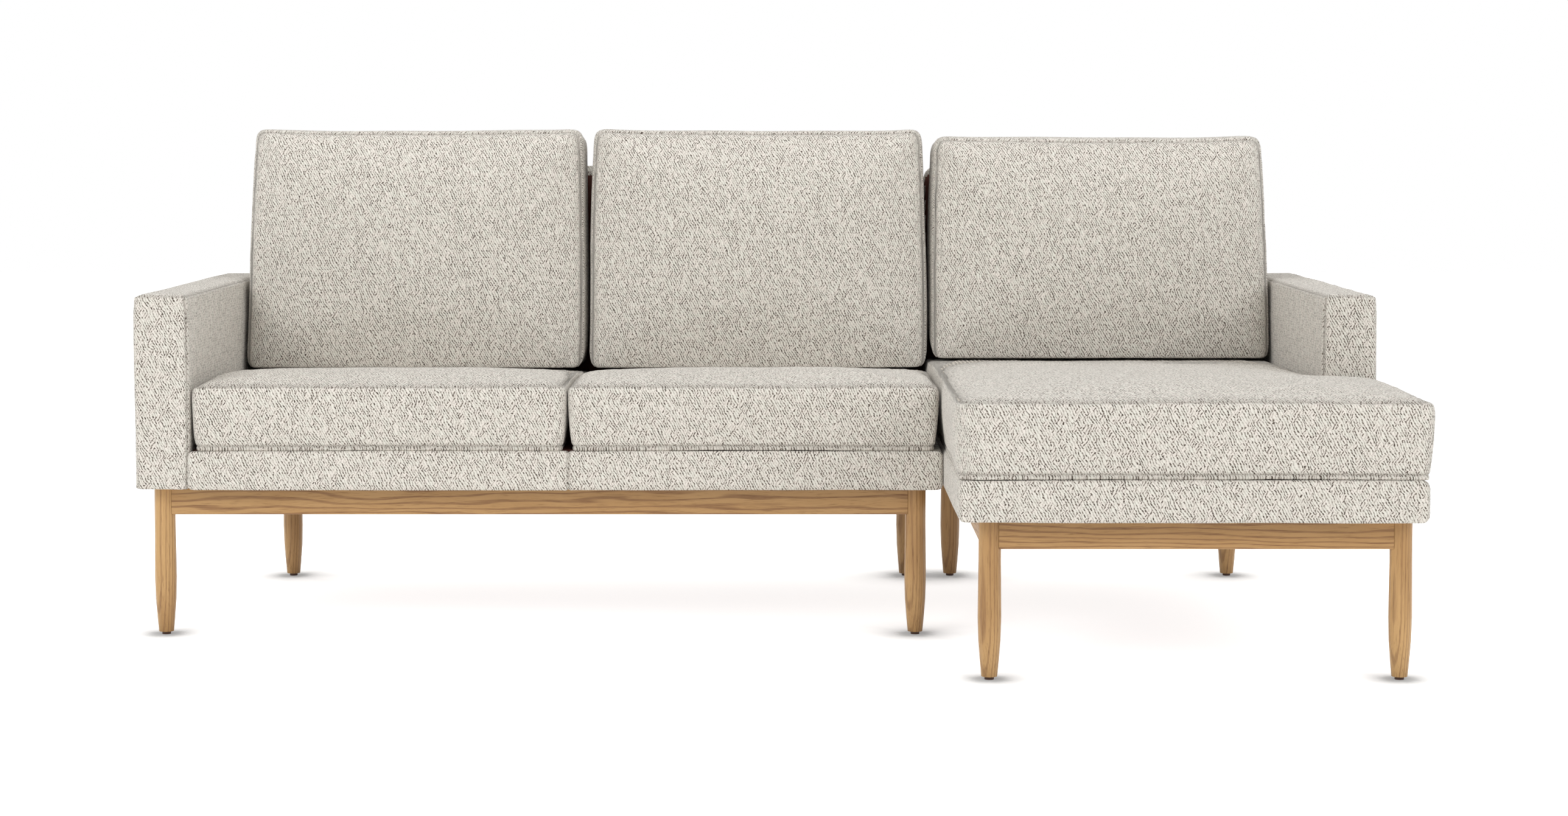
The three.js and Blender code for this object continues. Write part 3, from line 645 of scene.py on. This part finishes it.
def stuff_together(pieces, caps):
    before = [points_of(piece) for piece in pieces]
    for number in range(1, STUFFING_FRAMES + 1):
        scene.frame_set(number)
    graph = bpy.context.evaluated_depsgraph_get()
    for piece, start, cap in zip(pieces, before, caps):
        stuffed = piece.evaluated_get(graph).to_mesh()
        move = read(stuffed.vertices, "co", 3) - start
        piece.evaluated_get(graph).to_mesh_clear()
        piece.modifiers.clear()
        place_points(piece, start + capped(move, cap))
        print(piece.name, "moved at most", round(float(np.abs(move).max()) * 1000, 1), "mm before the cap")
    scene.frame_set(1)


# %% [markdown]
# ## Seams
# A seam is a narrow valley in the cloth. It needs edges that run exactly along it, and a remesh gives none.
# So the skin is flattened first: the height of the seam is taken away from every point, which turns a seam
# that rises and falls into a level plane. Blender's bisect can then cut edge loops along it at chosen
# distances. The height comes back afterwards, the loops in the middle sink, and the edges in the valley
# are kept for the thread.

# %% Seam tools
SEAM_LOOPS = (-0.005, -0.0017, 0.0, 0.0017, 0.005)
SEAM_DEPTH = 0.0026
SEAM_SNAP = 0.0006
SEAM_ZONE = 0.02
SEAM_TOUCH, SEAM_CUT_SNAP = 0.00006, 0.00005
LUMP_SIZE = 0.23
PUCKER_HEIGHT, PUCKER_REACH = 0.0011, 0.045
PUCKERS_ACROSS, PUCKERS_UP = 52, 9
VALLEY_REACH = 0.005
# How far the painted shade along a seam reaches, and how it fades.
SEAM_SHADE_REACH, SEAM_SHADE_FADE = 0.006, 1.5


class Seam:
    """A seam where the distance along an axis equals a level that may change from place to place."""
    def __init__(self, axis, level, within=None):
        self.axis = np.array(axis, float)
        self.axis /= np.linalg.norm(self.axis)
        self.level = level
        self.within = within or (lambda points: np.ones(len(points), bool))

    def distance(self, points):
        return points @ self.axis - self.level(points)


def cut_seam(piece, seam):
    """Cuts the loops of one seam into the skin, and marks the edges in its middle."""
    mesh = piece.data
    points = points_of(piece)
    away = seam.distance(points)
    near_points = (np.abs(away) < SEAM_ZONE) & seam.within(points)
    for loop in SEAM_LOOPS:
        away[near_points & (np.abs(away - loop) < SEAM_SNAP)] = loop
    place_points(piece, points + np.outer(away - points @ seam.axis, seam.axis))
    made = bmesh.new()
    made.from_mesh(mesh)
    made.verts.ensure_lookup_table()
    near = {made.verts[index] for index in np.nonzero(near_points)[0]}
    for loop in SEAM_LOOPS:
        faces = {face for vert in near for face in vert.link_faces}
        edges = {edge for face in faces for edge in face.edges}
        verts = {vert for face in faces for vert in face.verts}
        result = bmesh.ops.bisect_plane(
            made, geom=[*verts, *edges, *faces], dist=SEAM_CUT_SNAP,
            plane_co=Vector(seam.axis * loop), plane_no=Vector(seam.axis),
        )
        near |= {part for part in result["geom_cut"] if isinstance(part, bmesh.types.BMVert)}
    axis = Vector(seam.axis)
    for edge in {edge for vert in near for edge in vert.link_edges}:
        if all(abs(vert.co.dot(axis)) < SEAM_TOUCH and vert in near for vert in edge.verts):
            edge.seam = True
    made.to_mesh(mesh)
    made.free()
    flat = points_of(piece)
    place_points(piece, flat + np.outer(seam.level(flat), seam.axis))


def seam_closeness(points, seams, reach):
    """From 1 in the valley of the nearest seam to 0 at the given reach."""
    closest = np.zeros(len(points))
    for seam in seams:
        share = np.clip(1 - np.abs(seam.distance(points)) / reach, 0, 1)
        closest = np.maximum(closest, np.where(seam.within(points), share, 0))
    return closest


def lumps(points, turn):
    """A smooth, repeatable unevenness between about -1 and 1, from a few waves that cross."""
    waves = ((1.0, 0.2, 0.5), (-0.6, 0.9, 0.3), (0.3, -0.7, 0.9), (0.8, 0.7, -0.6), (-0.2, 0.4, 1.1))
    total = np.zeros(len(points))
    for number, wave in enumerate(waves):
        along = points @ np.array(wave) * (math.tau / (LUMP_SIZE * (1 + 0.23 * number)))
        total += np.sin(along + turn * (1.7 + number))
    return total / 3


def puckers(points, turn):
    """Fine folds that run across a seam, because they change along it only."""
    return np.array([
        noise.noise(Vector((x * PUCKERS_ACROSS + turn, y * PUCKERS_ACROSS, z * PUCKERS_UP)))
        for x, y, z in points
    ])


def sew(piece, seams, turn, lump=0.0012):
    """Cuts the seams, sinks them, lets the cloth pucker beside them and paints shade along them."""
    for seam in seams:
        cut_seam(piece, seam)
    points = points_of(piece)
    valley = seam_closeness(points, seams, VALLEY_REACH)
    beside = seam_closeness(points, seams, PUCKER_REACH)
    move = lumps(points, turn) * lump
    near = np.nonzero(beside > 0)[0]
    folds = np.zeros(len(points))
    folds[near] = puckers(points[near], turn)
    move += folds * beside ** 2 * PUCKER_HEIGHT
    move -= valley ** 2 * SEAM_DEPTH
    place_points(piece, points + outward_of(piece) * move[:, None])
    # Paints shade along the seams into an attribute, by which the cloth's material darkens.
    painted_seam_shade = piece.data.attributes.new("painted_seam_shade", "FLOAT", "POINT")
    painted_seam_shade.data.foreach_set("value", seam_closeness(points, seams, SEAM_SHADE_REACH) ** SEAM_SHADE_FADE)


# %% [markdown]
# ## Laying the cloth
# A cover is cut from flat cloth: a top, a long strip that runs round the sides, called the boxing, and a
# bottom. Each panel gets its own piece of the map called "cloth", measured in metres, so that the weave has
# its real size and breaks off at the seams as it does on a real cover. Where a panel turns over an edge,
# the map follows it down, so that the loops aren't stretched there.

# %% Cloth map tools
EDGE_FOLLOW = 0.5
CORNER_TURN = 1.6
PANEL_SHIFT = np.array([0.317, 0.523])


def from_above(points, outward):
    """A flat panel, cut to go down over its edges."""
    drop = (points[:, 2].max() - points[:, 2]) * EDGE_FOLLOW
    return points[:, :2] + outward[:, :2] * drop[:, None]


def round_the_sides(front):
    """The boxing: a strip that turns the corners from the front to both sides."""
    def unroll(points, outward):
        turn = np.clip(outward[:, 0] * CORNER_TURN, -1, 1)
        along = points[:, 0] + np.abs(points[:, 1] - front) * turn
        return np.stack([along, points[:, 2]], axis=1)
    return unroll


def from_behind(points, outward):
    return np.stack([-points[:, 0], points[:, 2]], axis=1)


def from_side(points, outward):
    return points[:, 1:]


def lay_cloth(piece, panels, rest):
    """Maps each face with the first panel that it belongs to, and all others as the rest."""
    mesh = piece.data
    centres, facing = faces_of(piece)
    vertex_of = read(mesh.loops, "vertex_index", kind=int)
    points, outward = points_of(piece), outward_of(piece)
    face_of = np.repeat(np.arange(len(centres)), read(mesh.polygons, "loop_total", kind=int))
    free = np.ones(len(centres), bool)
    cloth = np.zeros((len(mesh.loops), 2))
    for number, (belongs, unroll) in enumerate([*panels, (everything, rest)]):
        taken = free & belongs(centres, facing)
        free &= ~taken
        corners = taken[face_of]
        at = vertex_of[corners]
        cloth[corners] = unroll(points[at], outward[at]) + PANEL_SHIFT * number
    layer = mesh.uv_layers.new(name="cloth")
    layer.data.foreach_set("uv", cloth.ravel())
    mesh.shade_smooth()


def everything(centres, facing):
    return np.ones(len(centres), bool)


# %% [markdown]
# ## Thread
# Geometry Nodes are made for things that repeat along a path. The tree below takes the edges in the valley
# of a seam, turns them into curves, puts points on them at even steps and sets one short stitch on each
# point. It ends by making real geometry of the copies, because what leaves Blender has to be plain meshes.


# %% Stitch tree
def make_stitch_tree():
    tree, given, result = new_group(
        "stitches along seams",
        [("Geometry", "Geometry", None), ("Spacing", "Float", 0.0075), ("Stitch Length", "Float", 0.0044),
         ("Thread Radius", "Float", 0.00045), ("Thread", "Material", None)],
        [("Geometry", "Geometry")], "Geometry",
    )
    path = add_node(tree, "GeometryNodeMeshToCurve", [given["Geometry"]])
    along = {"Curve": path.outputs[0], "Length": given["Spacing"]}
    steps = add_node(tree, "GeometryNodeCurveToPoints", along, mode="LENGTH").outputs
    ball = {"Segments": 5, "Rings": 4, "Radius": given["Thread Radius"]}
    stitch = add_node(tree, "GeometryNodeMeshUVSphere", ball)
    longer = maths(tree, "DIVIDE", given["Stitch Length"], times(tree, given["Thread Radius"], 2.0))
    stretched = {"Geometry": stitch.outputs[0], "Scale": combine(tree, 1.0, 1.0, longer)}
    stretch = add_node(tree, "GeometryNodeTransform", stretched)
    turn = add_node(tree, "FunctionNodeAlignRotationToVector", {"Vector": steps["Tangent"]}, axis="Z")
    copies = add_node(tree, "GeometryNodeInstanceOnPoints", {
        "Points": steps["Points"], "Instance": stretch.outputs[0], "Rotation": turn.outputs[0],
    })
    real = add_node(tree, "GeometryNodeRealizeInstances", [copies.outputs[0]])
    bare = {"Geometry": real.outputs[0], "Material": given["Thread"]}
    feed(result[0], add_node(tree, "GeometryNodeSetMaterial", bare).outputs[0])
    return tree, tree.interface.items_tree["Thread"].identifier


stitch_tree, thread_input = make_stitch_tree()
STITCH_LIFT = 0.0004


def make_thread_material():
    material, tree, shader = new_material("seam_thread", 0.7, Sheen_Weight=0.2)
    place = object_place(tree)
    ply = noise_value(tree, place, 900, 1)
    feed(shader["Base Color"], blend_colours(tree, ply, srgb(176, 168, 156), srgb(214, 207, 196)))
    bump(tree, shader, ply, 0.0002, 0.5)
    return material


seam_thread = make_thread_material()


def stitch(piece):
    """Thread in the valleys of a piece's seams, as a piece of its own."""
    mesh = piece.data
    points = points_of(piece) + outward_of(piece) * STITCH_LIFT
    chosen = read(mesh.edges, "vertices", 2, int)[read(mesh.edges, "use_seam", kind=bool)]
    used, ends = np.unique(chosen, return_inverse=True)
    path = bpy.data.meshes.new(piece.name + "_thread")
    path.from_pydata(points[used].tolist(), ends.reshape(-1, 2).tolist(), [])
    thread = new_object(piece.name + "_thread", path)
    stitches = thread.modifiers.new("stitches", "NODES")
    stitches.node_group = stitch_tree
    stitches[thread_input] = seam_thread
    keep_modifiers(thread)
    thread.data.shade_smooth()
    return thread


# %% [markdown]
# ## The seat cushions and the chaise cushion
# These are boxed cushions: foam wrapped in wadding, with a top panel, a boxing and a bottom panel. The top
# panel is domed and its seam lies well below the crown. From the front the seam runs level, and further
# back it falls as the crown does. Each cushion starts a little smaller than its measured solid, because the
# stuffing makes it swell.

# %% Where the seams of the seats run
DECK_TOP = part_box("settee_deck_pad")[1].z
SEAT_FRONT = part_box("seat_cushion_left")[0].y
CHAISE_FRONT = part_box("chaise_cushion")[0].y
LOWER_SEAM_RISE = 0.0088


def seam_line(front, height, level_depth, span, fall):
    """The height of a top seam that is level at first and then falls."""
    def level(points):
        away = np.maximum(points[:, 1] - front - level_depth, 0)
        return height - fall * (np.hypot(span, away) - span)
    return level


def flat_level(value):
    return lambda points: np.full(len(points), value)


def level_seam(height, within=None):
    return Seam((0, 0, 1), flat_level(height), within)


seat_top_seam = Seam((0, 0, 1), seam_line(SEAT_FRONT, 0.4588, 0.33, 0.06, 0.08))
chaise_top_seam = Seam((0, 0, 1), seam_line(CHAISE_FRONT, 0.4708, 0.78, 0.15, 0.04))
lower_seam = level_seam(DECK_TOP + LOWER_SEAM_RISE)

# %% [markdown]
# The first step of each cushion is its skin. The limits say how far the cloth may go before it meets a
# neighbour: an arm, the next cushion or the deck.

# %% Skins of the seat cushions
SEAT_CELL = 0.008
SEAT_START_INSET = 0.002
SEAT_SWELL = 0.005
NEIGHBOUR_TOUCH = 0.0009
PRESS, PRESS_HEIGHT = 0.011, 0.02
SIDE_TOUCH = np.array([0.0006, 0, 0])
FACES_DOWN = -0.6


def pressed_down(points, level):
    """The weight of a cushion presses its lower edge square against the deck."""
    high = points[:, 2] - level
    sunk = high - PRESS * np.exp(-(high / PRESS_HEIGHT) ** 2)
    points[:, 2] = level + np.maximum(sunk, np.minimum(high, 0))
    return points


def within_sides(name, axis, bottom):
    """Keeps a cushion between its neighbours, and above its bottom along the given axis."""
    low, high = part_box(name)

    def limit(points):
        points[:, 0] = np.clip(points[:, 0], low.x - NEIGHBOUR_TOUCH, high.x + NEIGHBOUR_TOUCH)
        points[:, axis] = np.maximum(points[:, axis], bottom(points))
        return points
    return limit


def chaise_limit(points):
    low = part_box("chaise_cushion")[0]
    inner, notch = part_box("right_arm_cover")[0].xy
    points[:, 0] = np.maximum(points[:, 0], low.x - NEIGHBOUR_TOUCH)
    points[:, 2] = np.maximum(points[:, 2], low.z)
    past = (points[:, 0] > inner - NEIGHBOUR_TOUCH) & (points[:, 1] > notch - NEIGHBOUR_TOUCH)
    sideways = points[:, 0] - inner < points[:, 1] - notch
    points[past & sideways, 0] = inner - NEIGHBOUR_TOUCH
    points[past & ~sideways, 1] = notch - NEIGHBOUR_TOUCH
    return points


def hold_down(piece, seams, underside):
    """Holds the underside in full and the seams in part."""
    near_seam = seam_closeness(points_of(piece), seams, SEAM_HOLD_REACH) > 0
    hold(piece, np.where(underside, 1.0, SEAM_HOLD * near_seam))


def start_seat(name, seams, limit):
    piece = skin_of(name)
    low, high = room_of(piece)
    room = (low - SIDE_TOUCH, high + SIDE_TOUCH)
    reskin(piece, SEAT_CELL, 2)
    inset(piece, SEAT_START_INSET)
    hold_down(piece, seams, outward_of(piece)[:, 2] < FACES_DOWN)
    add_stuffing(piece)
    return {"piece": piece, "node": name, "seams": seams, "limit": limit, "room": room, "lies_down": False,
            "swell": SEAT_SWELL, "sag": lambda moved: pressed_down(moved, low[2])}


cushions = []
for place in ("left", "middle"):
    name = f"seat_cushion_{place}"
    limit = within_sides(name, 2, flat_level(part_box(name)[0].z))
    cushions.append(start_seat(name, [seat_top_seam, lower_seam], limit))
cushions.append(start_seat("chaise_cushion", [chaise_top_seam, lower_seam], chaise_limit))
print("cells", [len(entry["piece"].data.polygons) for entry in cushions])

# %% [markdown]
# ## The back cushions
# A back cushion leans, so each one is first laid down on its rear panel: its own up becomes Y and its front
# becomes Z. The tools for a seat cushion then work on it as well. Its top corners are fuller than a remesh
# leaves them, because a maker pushes the corners of the inner pad out into them. Its own weight presses the
# lower front edge flat on the seat.

# %% Skins of the back cushions
BACK_CELL = 0.008
BACK_START_INSET = 0.003
BACK_SWELL = 0.007
FRONT_SEAM_DEPTH = 0.177
REAR_SEAM_DEPTH = 0.012
EAR_PUSH = 0.007
EAR_REACH = 0.03
EAR_SHARE = 0.7
BACK_FACES_DOWN = -0.75
SAG = 0.03
SAG_HEIGHT = 0.05
SAG_STARTS, SAG_FULL = 0.15, 0.2
SINKS_IN = 0.004

lift_joint = next(joint for joint in frame["joints"] if joint["name"].startswith("back_cushion_left"))
lean = Vector(lift_joint["axis"]).normalized()
forward = Vector((1, 0, 0)).cross(lean)
lay_down = Matrix((Vector((1, 0, 0)), lean, forward)).to_4x4()
stand_up = lay_down.transposed()


def stand_ears(piece):
    """Pushes the two upper corners outwards, in the plane of the front panel."""
    points = points_of(piece)
    for side in (-1, 1):
        corner = np.array([(points[:, 0] * side).max() * side, points[:, 1].max()])
        away = np.linalg.norm(points[:, :2] - corner, axis=1)
        push = EAR_PUSH * np.exp(-(away / EAR_REACH) ** 2)
        points[:, 0] += side * push * EAR_SHARE
        points[:, 1] += push * EAR_SHARE
    place_points(piece, points)


def front_share(points, rear):
    """From 0 in the rear of a back cushion to 1 at its front."""
    share = np.clip((points[:, 2] - rear - SAG_STARTS) / (SAG_FULL - SAG_STARTS), 0, 1)
    return share * share * (3 - 2 * share)


def bottom_line(piece):
    """The underside while the piece lies down: a slope, whose front edge sinks a little into the seat."""
    points, outward = points_of(piece), outward_of(piece)
    rear = points[:, 2].min()
    under = points[outward[:, 1] < -0.9]
    slope, level = np.polyfit(under[:, 2], under[:, 1], 1)
    return lambda given: level + slope * given[:, 2] - SINKS_IN * front_share(given, rear)


def sagged(points, rear, bottom):
    """Lets the lower front edge sink until it rests on the seat."""
    high = points[:, 1] - bottom(points)
    sunk = high - SAG * np.exp(-(high / SAG_HEIGHT) ** 2) * front_share(points, rear)
    points[:, 1] = bottom(points) + np.maximum(sunk, np.minimum(high, 0))
    return points


def start_back(name):
    piece = skin_of(name, lay_down)
    room = room_of(piece)
    reskin(piece, BACK_CELL, 2)
    bottom = bottom_line(piece)
    stand_ears(piece)
    inset(piece, BACK_START_INSET)
    rear = points_of(piece)[:, 2].min()
    sides = within_sides(name, 1, bottom)
    seams = [level_seam(rear - BACK_START_INSET + depth) for depth in (FRONT_SEAM_DEPTH, REAR_SEAM_DEPTH)]
    outward = outward_of(piece)
    hold_down(piece, seams, (outward[:, 2] < FACES_DOWN) | (outward[:, 1] < BACK_FACES_DOWN))
    add_stuffing(piece)

    def limit(moved):
        moved = sides(moved)
        moved[:, 2] = np.maximum(moved[:, 2], rear)
        return moved

    return {"piece": piece, "node": name, "seams": seams, "limit": limit, "room": room, "lies_down": True,
            "swell": BACK_SWELL, "sag": lambda moved: sagged(moved, rear, bottom)}


for place in ("left", "middle", "right"):
    cushions.append(start_back(f"back_cushion_{place}"))
print("cells", [len(entry["piece"].data.polygons) for entry in cushions])

# %% [markdown]
# All six are stuffed together, then each is refined, sewn and covered.

# %% Stuff, sew and cover the cushions
stuff_together([entry["piece"] for entry in cushions], [entry["swell"] for entry in cushions])


def above(seam):
    return lambda centres, facing: seam.distance(centres) > 0


def below(seam):
    return lambda centres, facing: seam.distance(centres) < 0


def cover(entry, number):
    piece, seams = entry["piece"], entry["seams"]
    reshape(piece, entry["limit"])
    refine(piece)
    fit_to(piece, *entry["room"])
    reshape(piece, entry["sag"])
    sew(piece, seams, 1.3 + number)
    reshape(piece, entry["limit"])
    depths = points_of(piece)[:, 1]
    edge = depths.max() if entry["lies_down"] else depths.min()
    lay_cloth(piece, [
        (above(seams[0]), from_above), (below(seams[1]), from_above),
    ], round_the_sides(edge))
    if entry["lies_down"]:
        piece.data.transform(stand_up)
    dress(piece, boucle)
    body = entry["node"]
    thread = stitch(piece)
    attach(piece, body)
    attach(thread, body)
    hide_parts(entry["node"])
    print(piece.name, len(piece.data.polygons), "faces,", len(thread.data.polygons), "faces of thread")


for number, entry in enumerate(cushions):
    cover(entry, number)

# %% [markdown]
# ## Arms
# An arm is a board with padding, and its cover is pulled tight over it, so it needs no stuffing: the remesh,
# a slight unevenness and the seams are enough. The remesh rounds the lower edge away, so the outer side is
# filled out again. One seam runs round the top panel, in a narrow band at its edge. Another one runs down
# the inner front corner, where the front strip meets the inside panel.

# %% Cover the arms
ARM_CELL = 0.0045
ARM_TOP_SEAM = 0.622
ARM_TOP_ROUND = 0.03
ARM_SEAM_BAND = 0.012
ARM_CORNER_BAND = 0.03
ARM_LEVELS = 30


def start_firm(node_name, cell, rounds, reach=(0, 0, 0)):
    """A smooth skin in the room of a measured solid, whose low end may reach a little further."""
    piece = skin_of(node_name, as_hull=True)
    low, high = room_of(piece)
    reskin(piece, cell, rounds)
    fit_to(piece, low - reach, high)
    return piece


def finish_firm(piece, node_name, *materials):
    dress(piece, *materials)
    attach(piece, "frame")
    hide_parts(node_name)
    print(piece.name, len(piece.data.polygons), "faces")


def finish_thread(piece):
    thread = stitch(piece)
    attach(thread, "frame")


def straighten_outside(piece, inward):
    """Fills the outer side out to its box at every height below the top, down to a sharp lower edge."""
    points = points_of(piece)
    out = points[:, 0] * -inward
    levels = np.linspace(points[:, 2].min(), ARM_TOP_SEAM - ARM_TOP_ROUND, ARM_LEVELS)
    half = (levels[1] - levels[0]) / 2
    short = [out.max() - out[np.abs(points[:, 2] - level) <= half].max() for level in levels]
    across = (out - out.min()) / (out.max() - out.min())
    fade = np.clip((ARM_TOP_SEAM - points[:, 2]) / ARM_TOP_ROUND, 0, 1)
    points[:, 0] += -inward * np.interp(points[:, 2], levels, short) * across * fade
    place_points(piece, points)


def cover_arm(side, inward):
    node_name = f"{side}_arm_cover"
    low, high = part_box(node_name)
    inner = high.x if inward > 0 else low.x
    piece = start_firm(node_name, ARM_CELL, 2)
    straighten_outside(piece, inward)
    top_seam = level_seam(
        ARM_TOP_SEAM,
        lambda points: (np.minimum(points[:, 0] - low.x, high.x - points[:, 0]) < ARM_SEAM_BAND)
        | (np.minimum(points[:, 1] - low.y, high.y - points[:, 1]) < ARM_SEAM_BAND),
    )
    corner = (inner * inward + low.y) / math.sqrt(2)
    corner_seam = Seam(
        (inward, 1, 0), flat_level(corner),
        lambda points: (points[:, 1] < low.y + ARM_CORNER_BAND) & (points[:, 2] < ARM_TOP_SEAM - 0.001)
        & (np.abs(points[:, 0] - inner) < ARM_CORNER_BAND),
    )
    sew(piece, [top_seam, corner_seam], 3.1 + inward, lump=0.0007)

    def inside_panel(centres, facing):
        return (facing[:, 0] * inward > 0.3) & (corner_seam.distance(centres) > 0)

    lay_cloth(piece, [
        (above(top_seam), from_above), (inside_panel, from_side),
        (lambda centres, facing: facing[:, 1] > 0.7, from_behind),
    ], round_the_sides(low.y))
    finish_thread(piece)
    finish_firm(piece, node_name, boucle)


cover_arm("left", 1)
cover_arm("right", -1)

# %% [markdown]
# ## The fixed backs
# The fixed back shows only as a strip above and between the back cushions. Makers save cloth there: the
# good cloth folds a little way over the top edge, and a dark lining covers the rest of the front.

# %% Cover the fixed backs
BACK_PANEL_CELL = 0.006
LINING_STARTS = 0.02


def cover_back(module):
    node_name = f"{module}_back_cover"
    low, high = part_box(node_name)
    piece = start_firm(node_name, BACK_PANEL_CELL, 3)
    sew(piece, [], 5.0, lump=0.001)
    lay_cloth(piece, [
        (lambda centres, facing: facing[:, 2] > 0.6, from_above),
        (lambda centres, facing: facing[:, 1] > 0.5, from_behind),
    ], round_the_sides(low.y))
    centres, facing = faces_of(piece)
    lined = (facing[:, 1] < -0.5) & (centres[:, 2] < high.z - LINING_STARTS)
    finish_firm(piece, node_name, boucle, lining_cloth)
    piece.data.polygons.foreach_set("material_index", lined.astype(int))


cover_back("settee")
cover_back("chaise")

# %% [markdown]
# ## Panels round the base
# The base is upholstered with long, thin pads. They end in a rounded edge that turns under, just above the
# oak rails.

# %% Cover the base panels
PANEL_CELL = 0.004
BASE_SEAM_X = -0.3415
JOINS_THE_ARM = (0.007, 0, 0)


def cover_panel(node_name, seams, faces_side, reach=(0, 0, 0)):
    low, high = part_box(node_name)
    piece = start_firm(node_name, PANEL_CELL, 2, reach)
    sew(piece, seams, 7.0 + low.x, lump=0.0006)
    unroll = from_side if faces_side else round_the_sides(low.y)
    lay_cloth(piece, [(above(seam), unroll) for seam in seams], unroll)
    if seams:
        finish_thread(piece)
    finish_firm(piece, node_name, boucle)


cover_panel("settee_base_panel_front", [Seam((1, 0, 0), flat_level(BASE_SEAM_X))], False, JOINS_THE_ARM)
cover_panel("chaise_base_panel_front", [], False)
for node_name in ("settee_base_panel_right", "chaise_base_panel_left", "chaise_base_panel_right"):
    cover_panel(node_name, [], True)

# %% [markdown]
# ## Floor and backdrop
# The sofa stands in a white studio. The floor is pale and gives off light of its own, more to the camera than
# to the sofa, so that it is white even under the sofa. Small soft shadows stay at the feet, on the side away
# from the main light: they come from ambient occlusion over a hand's width, felt along a line that leans
# towards that light. The world is white to the camera and dimmer as a light.

# %% Stage
FLOOR_REACH = 14
FLOOR_COLOUR = srgb(236, 236, 234)
FLOOR_GLOW = 0.8
FLOOR_LIGHT = 0.3
FOOT_SHADOW_REACH = 0.15
FOOT_SHADOW_DEPTH = 0.65
FOOT_SHADOW_STARTS = 0.78
TOWARDS_LIGHT = (-0.82, -0.1, 0.56)


def make_floor():
    mesh = bpy.data.meshes.new("floor")
    corners = ((-1, -1), (1, -1), (1, 1), (-1, 1))
    mesh.from_pydata([(x * FLOOR_REACH, y * FLOOR_REACH, 0) for x, y in corners], [], [(0, 1, 2, 3)])
    floor = new_object("floor", mesh)
    material, tree, shader = new_material("studio_floor", 0.9, Specular_IOR_Level=0.0)
    glow = plus(tree, FLOOR_LIGHT, times(tree, seen_straight(tree), FLOOR_GLOW - FLOOR_LIGHT))
    felt = {"Distance": FOOT_SHADOW_REACH, "Normal": TOWARDS_LIGHT}
    near = add_node(tree, "ShaderNodeAmbientOcclusion", felt)
    lit = remap(tree, near.outputs["AO"], FOOT_SHADOW_STARTS, 1.0, 1 - FOOT_SHADOW_DEPTH, 1.0)
    feed(shader["Base Color"], blend_colours(tree, lit, (0, 0, 0, 1), FLOOR_COLOUR))
    shader["Emission Color"].default_value = (1, 1, 1, 1)
    feed(shader["Emission Strength"], times(tree, glow, lit))
    mesh.materials.append(material)


make_floor()

WORLD_LIGHT = 0.62


def make_world():
    world = bpy.data.worlds.new("studio")
    world.use_nodes = True
    tree = world.node_tree
    back = tree.nodes["Background"]
    back.inputs["Color"].default_value = (1, 1, 1, 1)
    level = plus(tree, WORLD_LIGHT, times(tree, seen_straight(tree), 1 - WORLD_LIGHT))
    feed(back.inputs["Strength"], level)
    scene.world = world


make_world()

# %% [markdown]
# ## Lights
# The photograph is lit very evenly: fronts are nearly as bright as tops, and the shadows are short. Three
# large soft lights do that: one above, a stronger one to the front and left, and a weaker one to the right.

# %% Lights
LIGHT_AIM = Vector((0.0, 0.0, 0.4))
LIGHTS = [
    ("overhead", (0.0, -0.1, 3.9), (7.0, 3.0), 66),
    ("front_left", (-3.6, -4.6, 3.3), (3.2, 2.4), 106),
    ("front_right", (4.3, -4.4, 3.0), (2.8, 2.2), 76),
]


def add_light(name, place, size, power):
    light = bpy.data.lights.new(name, "AREA")
    light.shape = "RECTANGLE"
    light.size, light.size_y = size
    light.energy = power
    lamp = new_object(name, light)
    lamp.location = place
    lamp.rotation_euler = (LIGHT_AIM - Vector(place)).to_track_quat("-Z", "Y").to_euler()


for light in LIGHTS:
    add_light(*light)
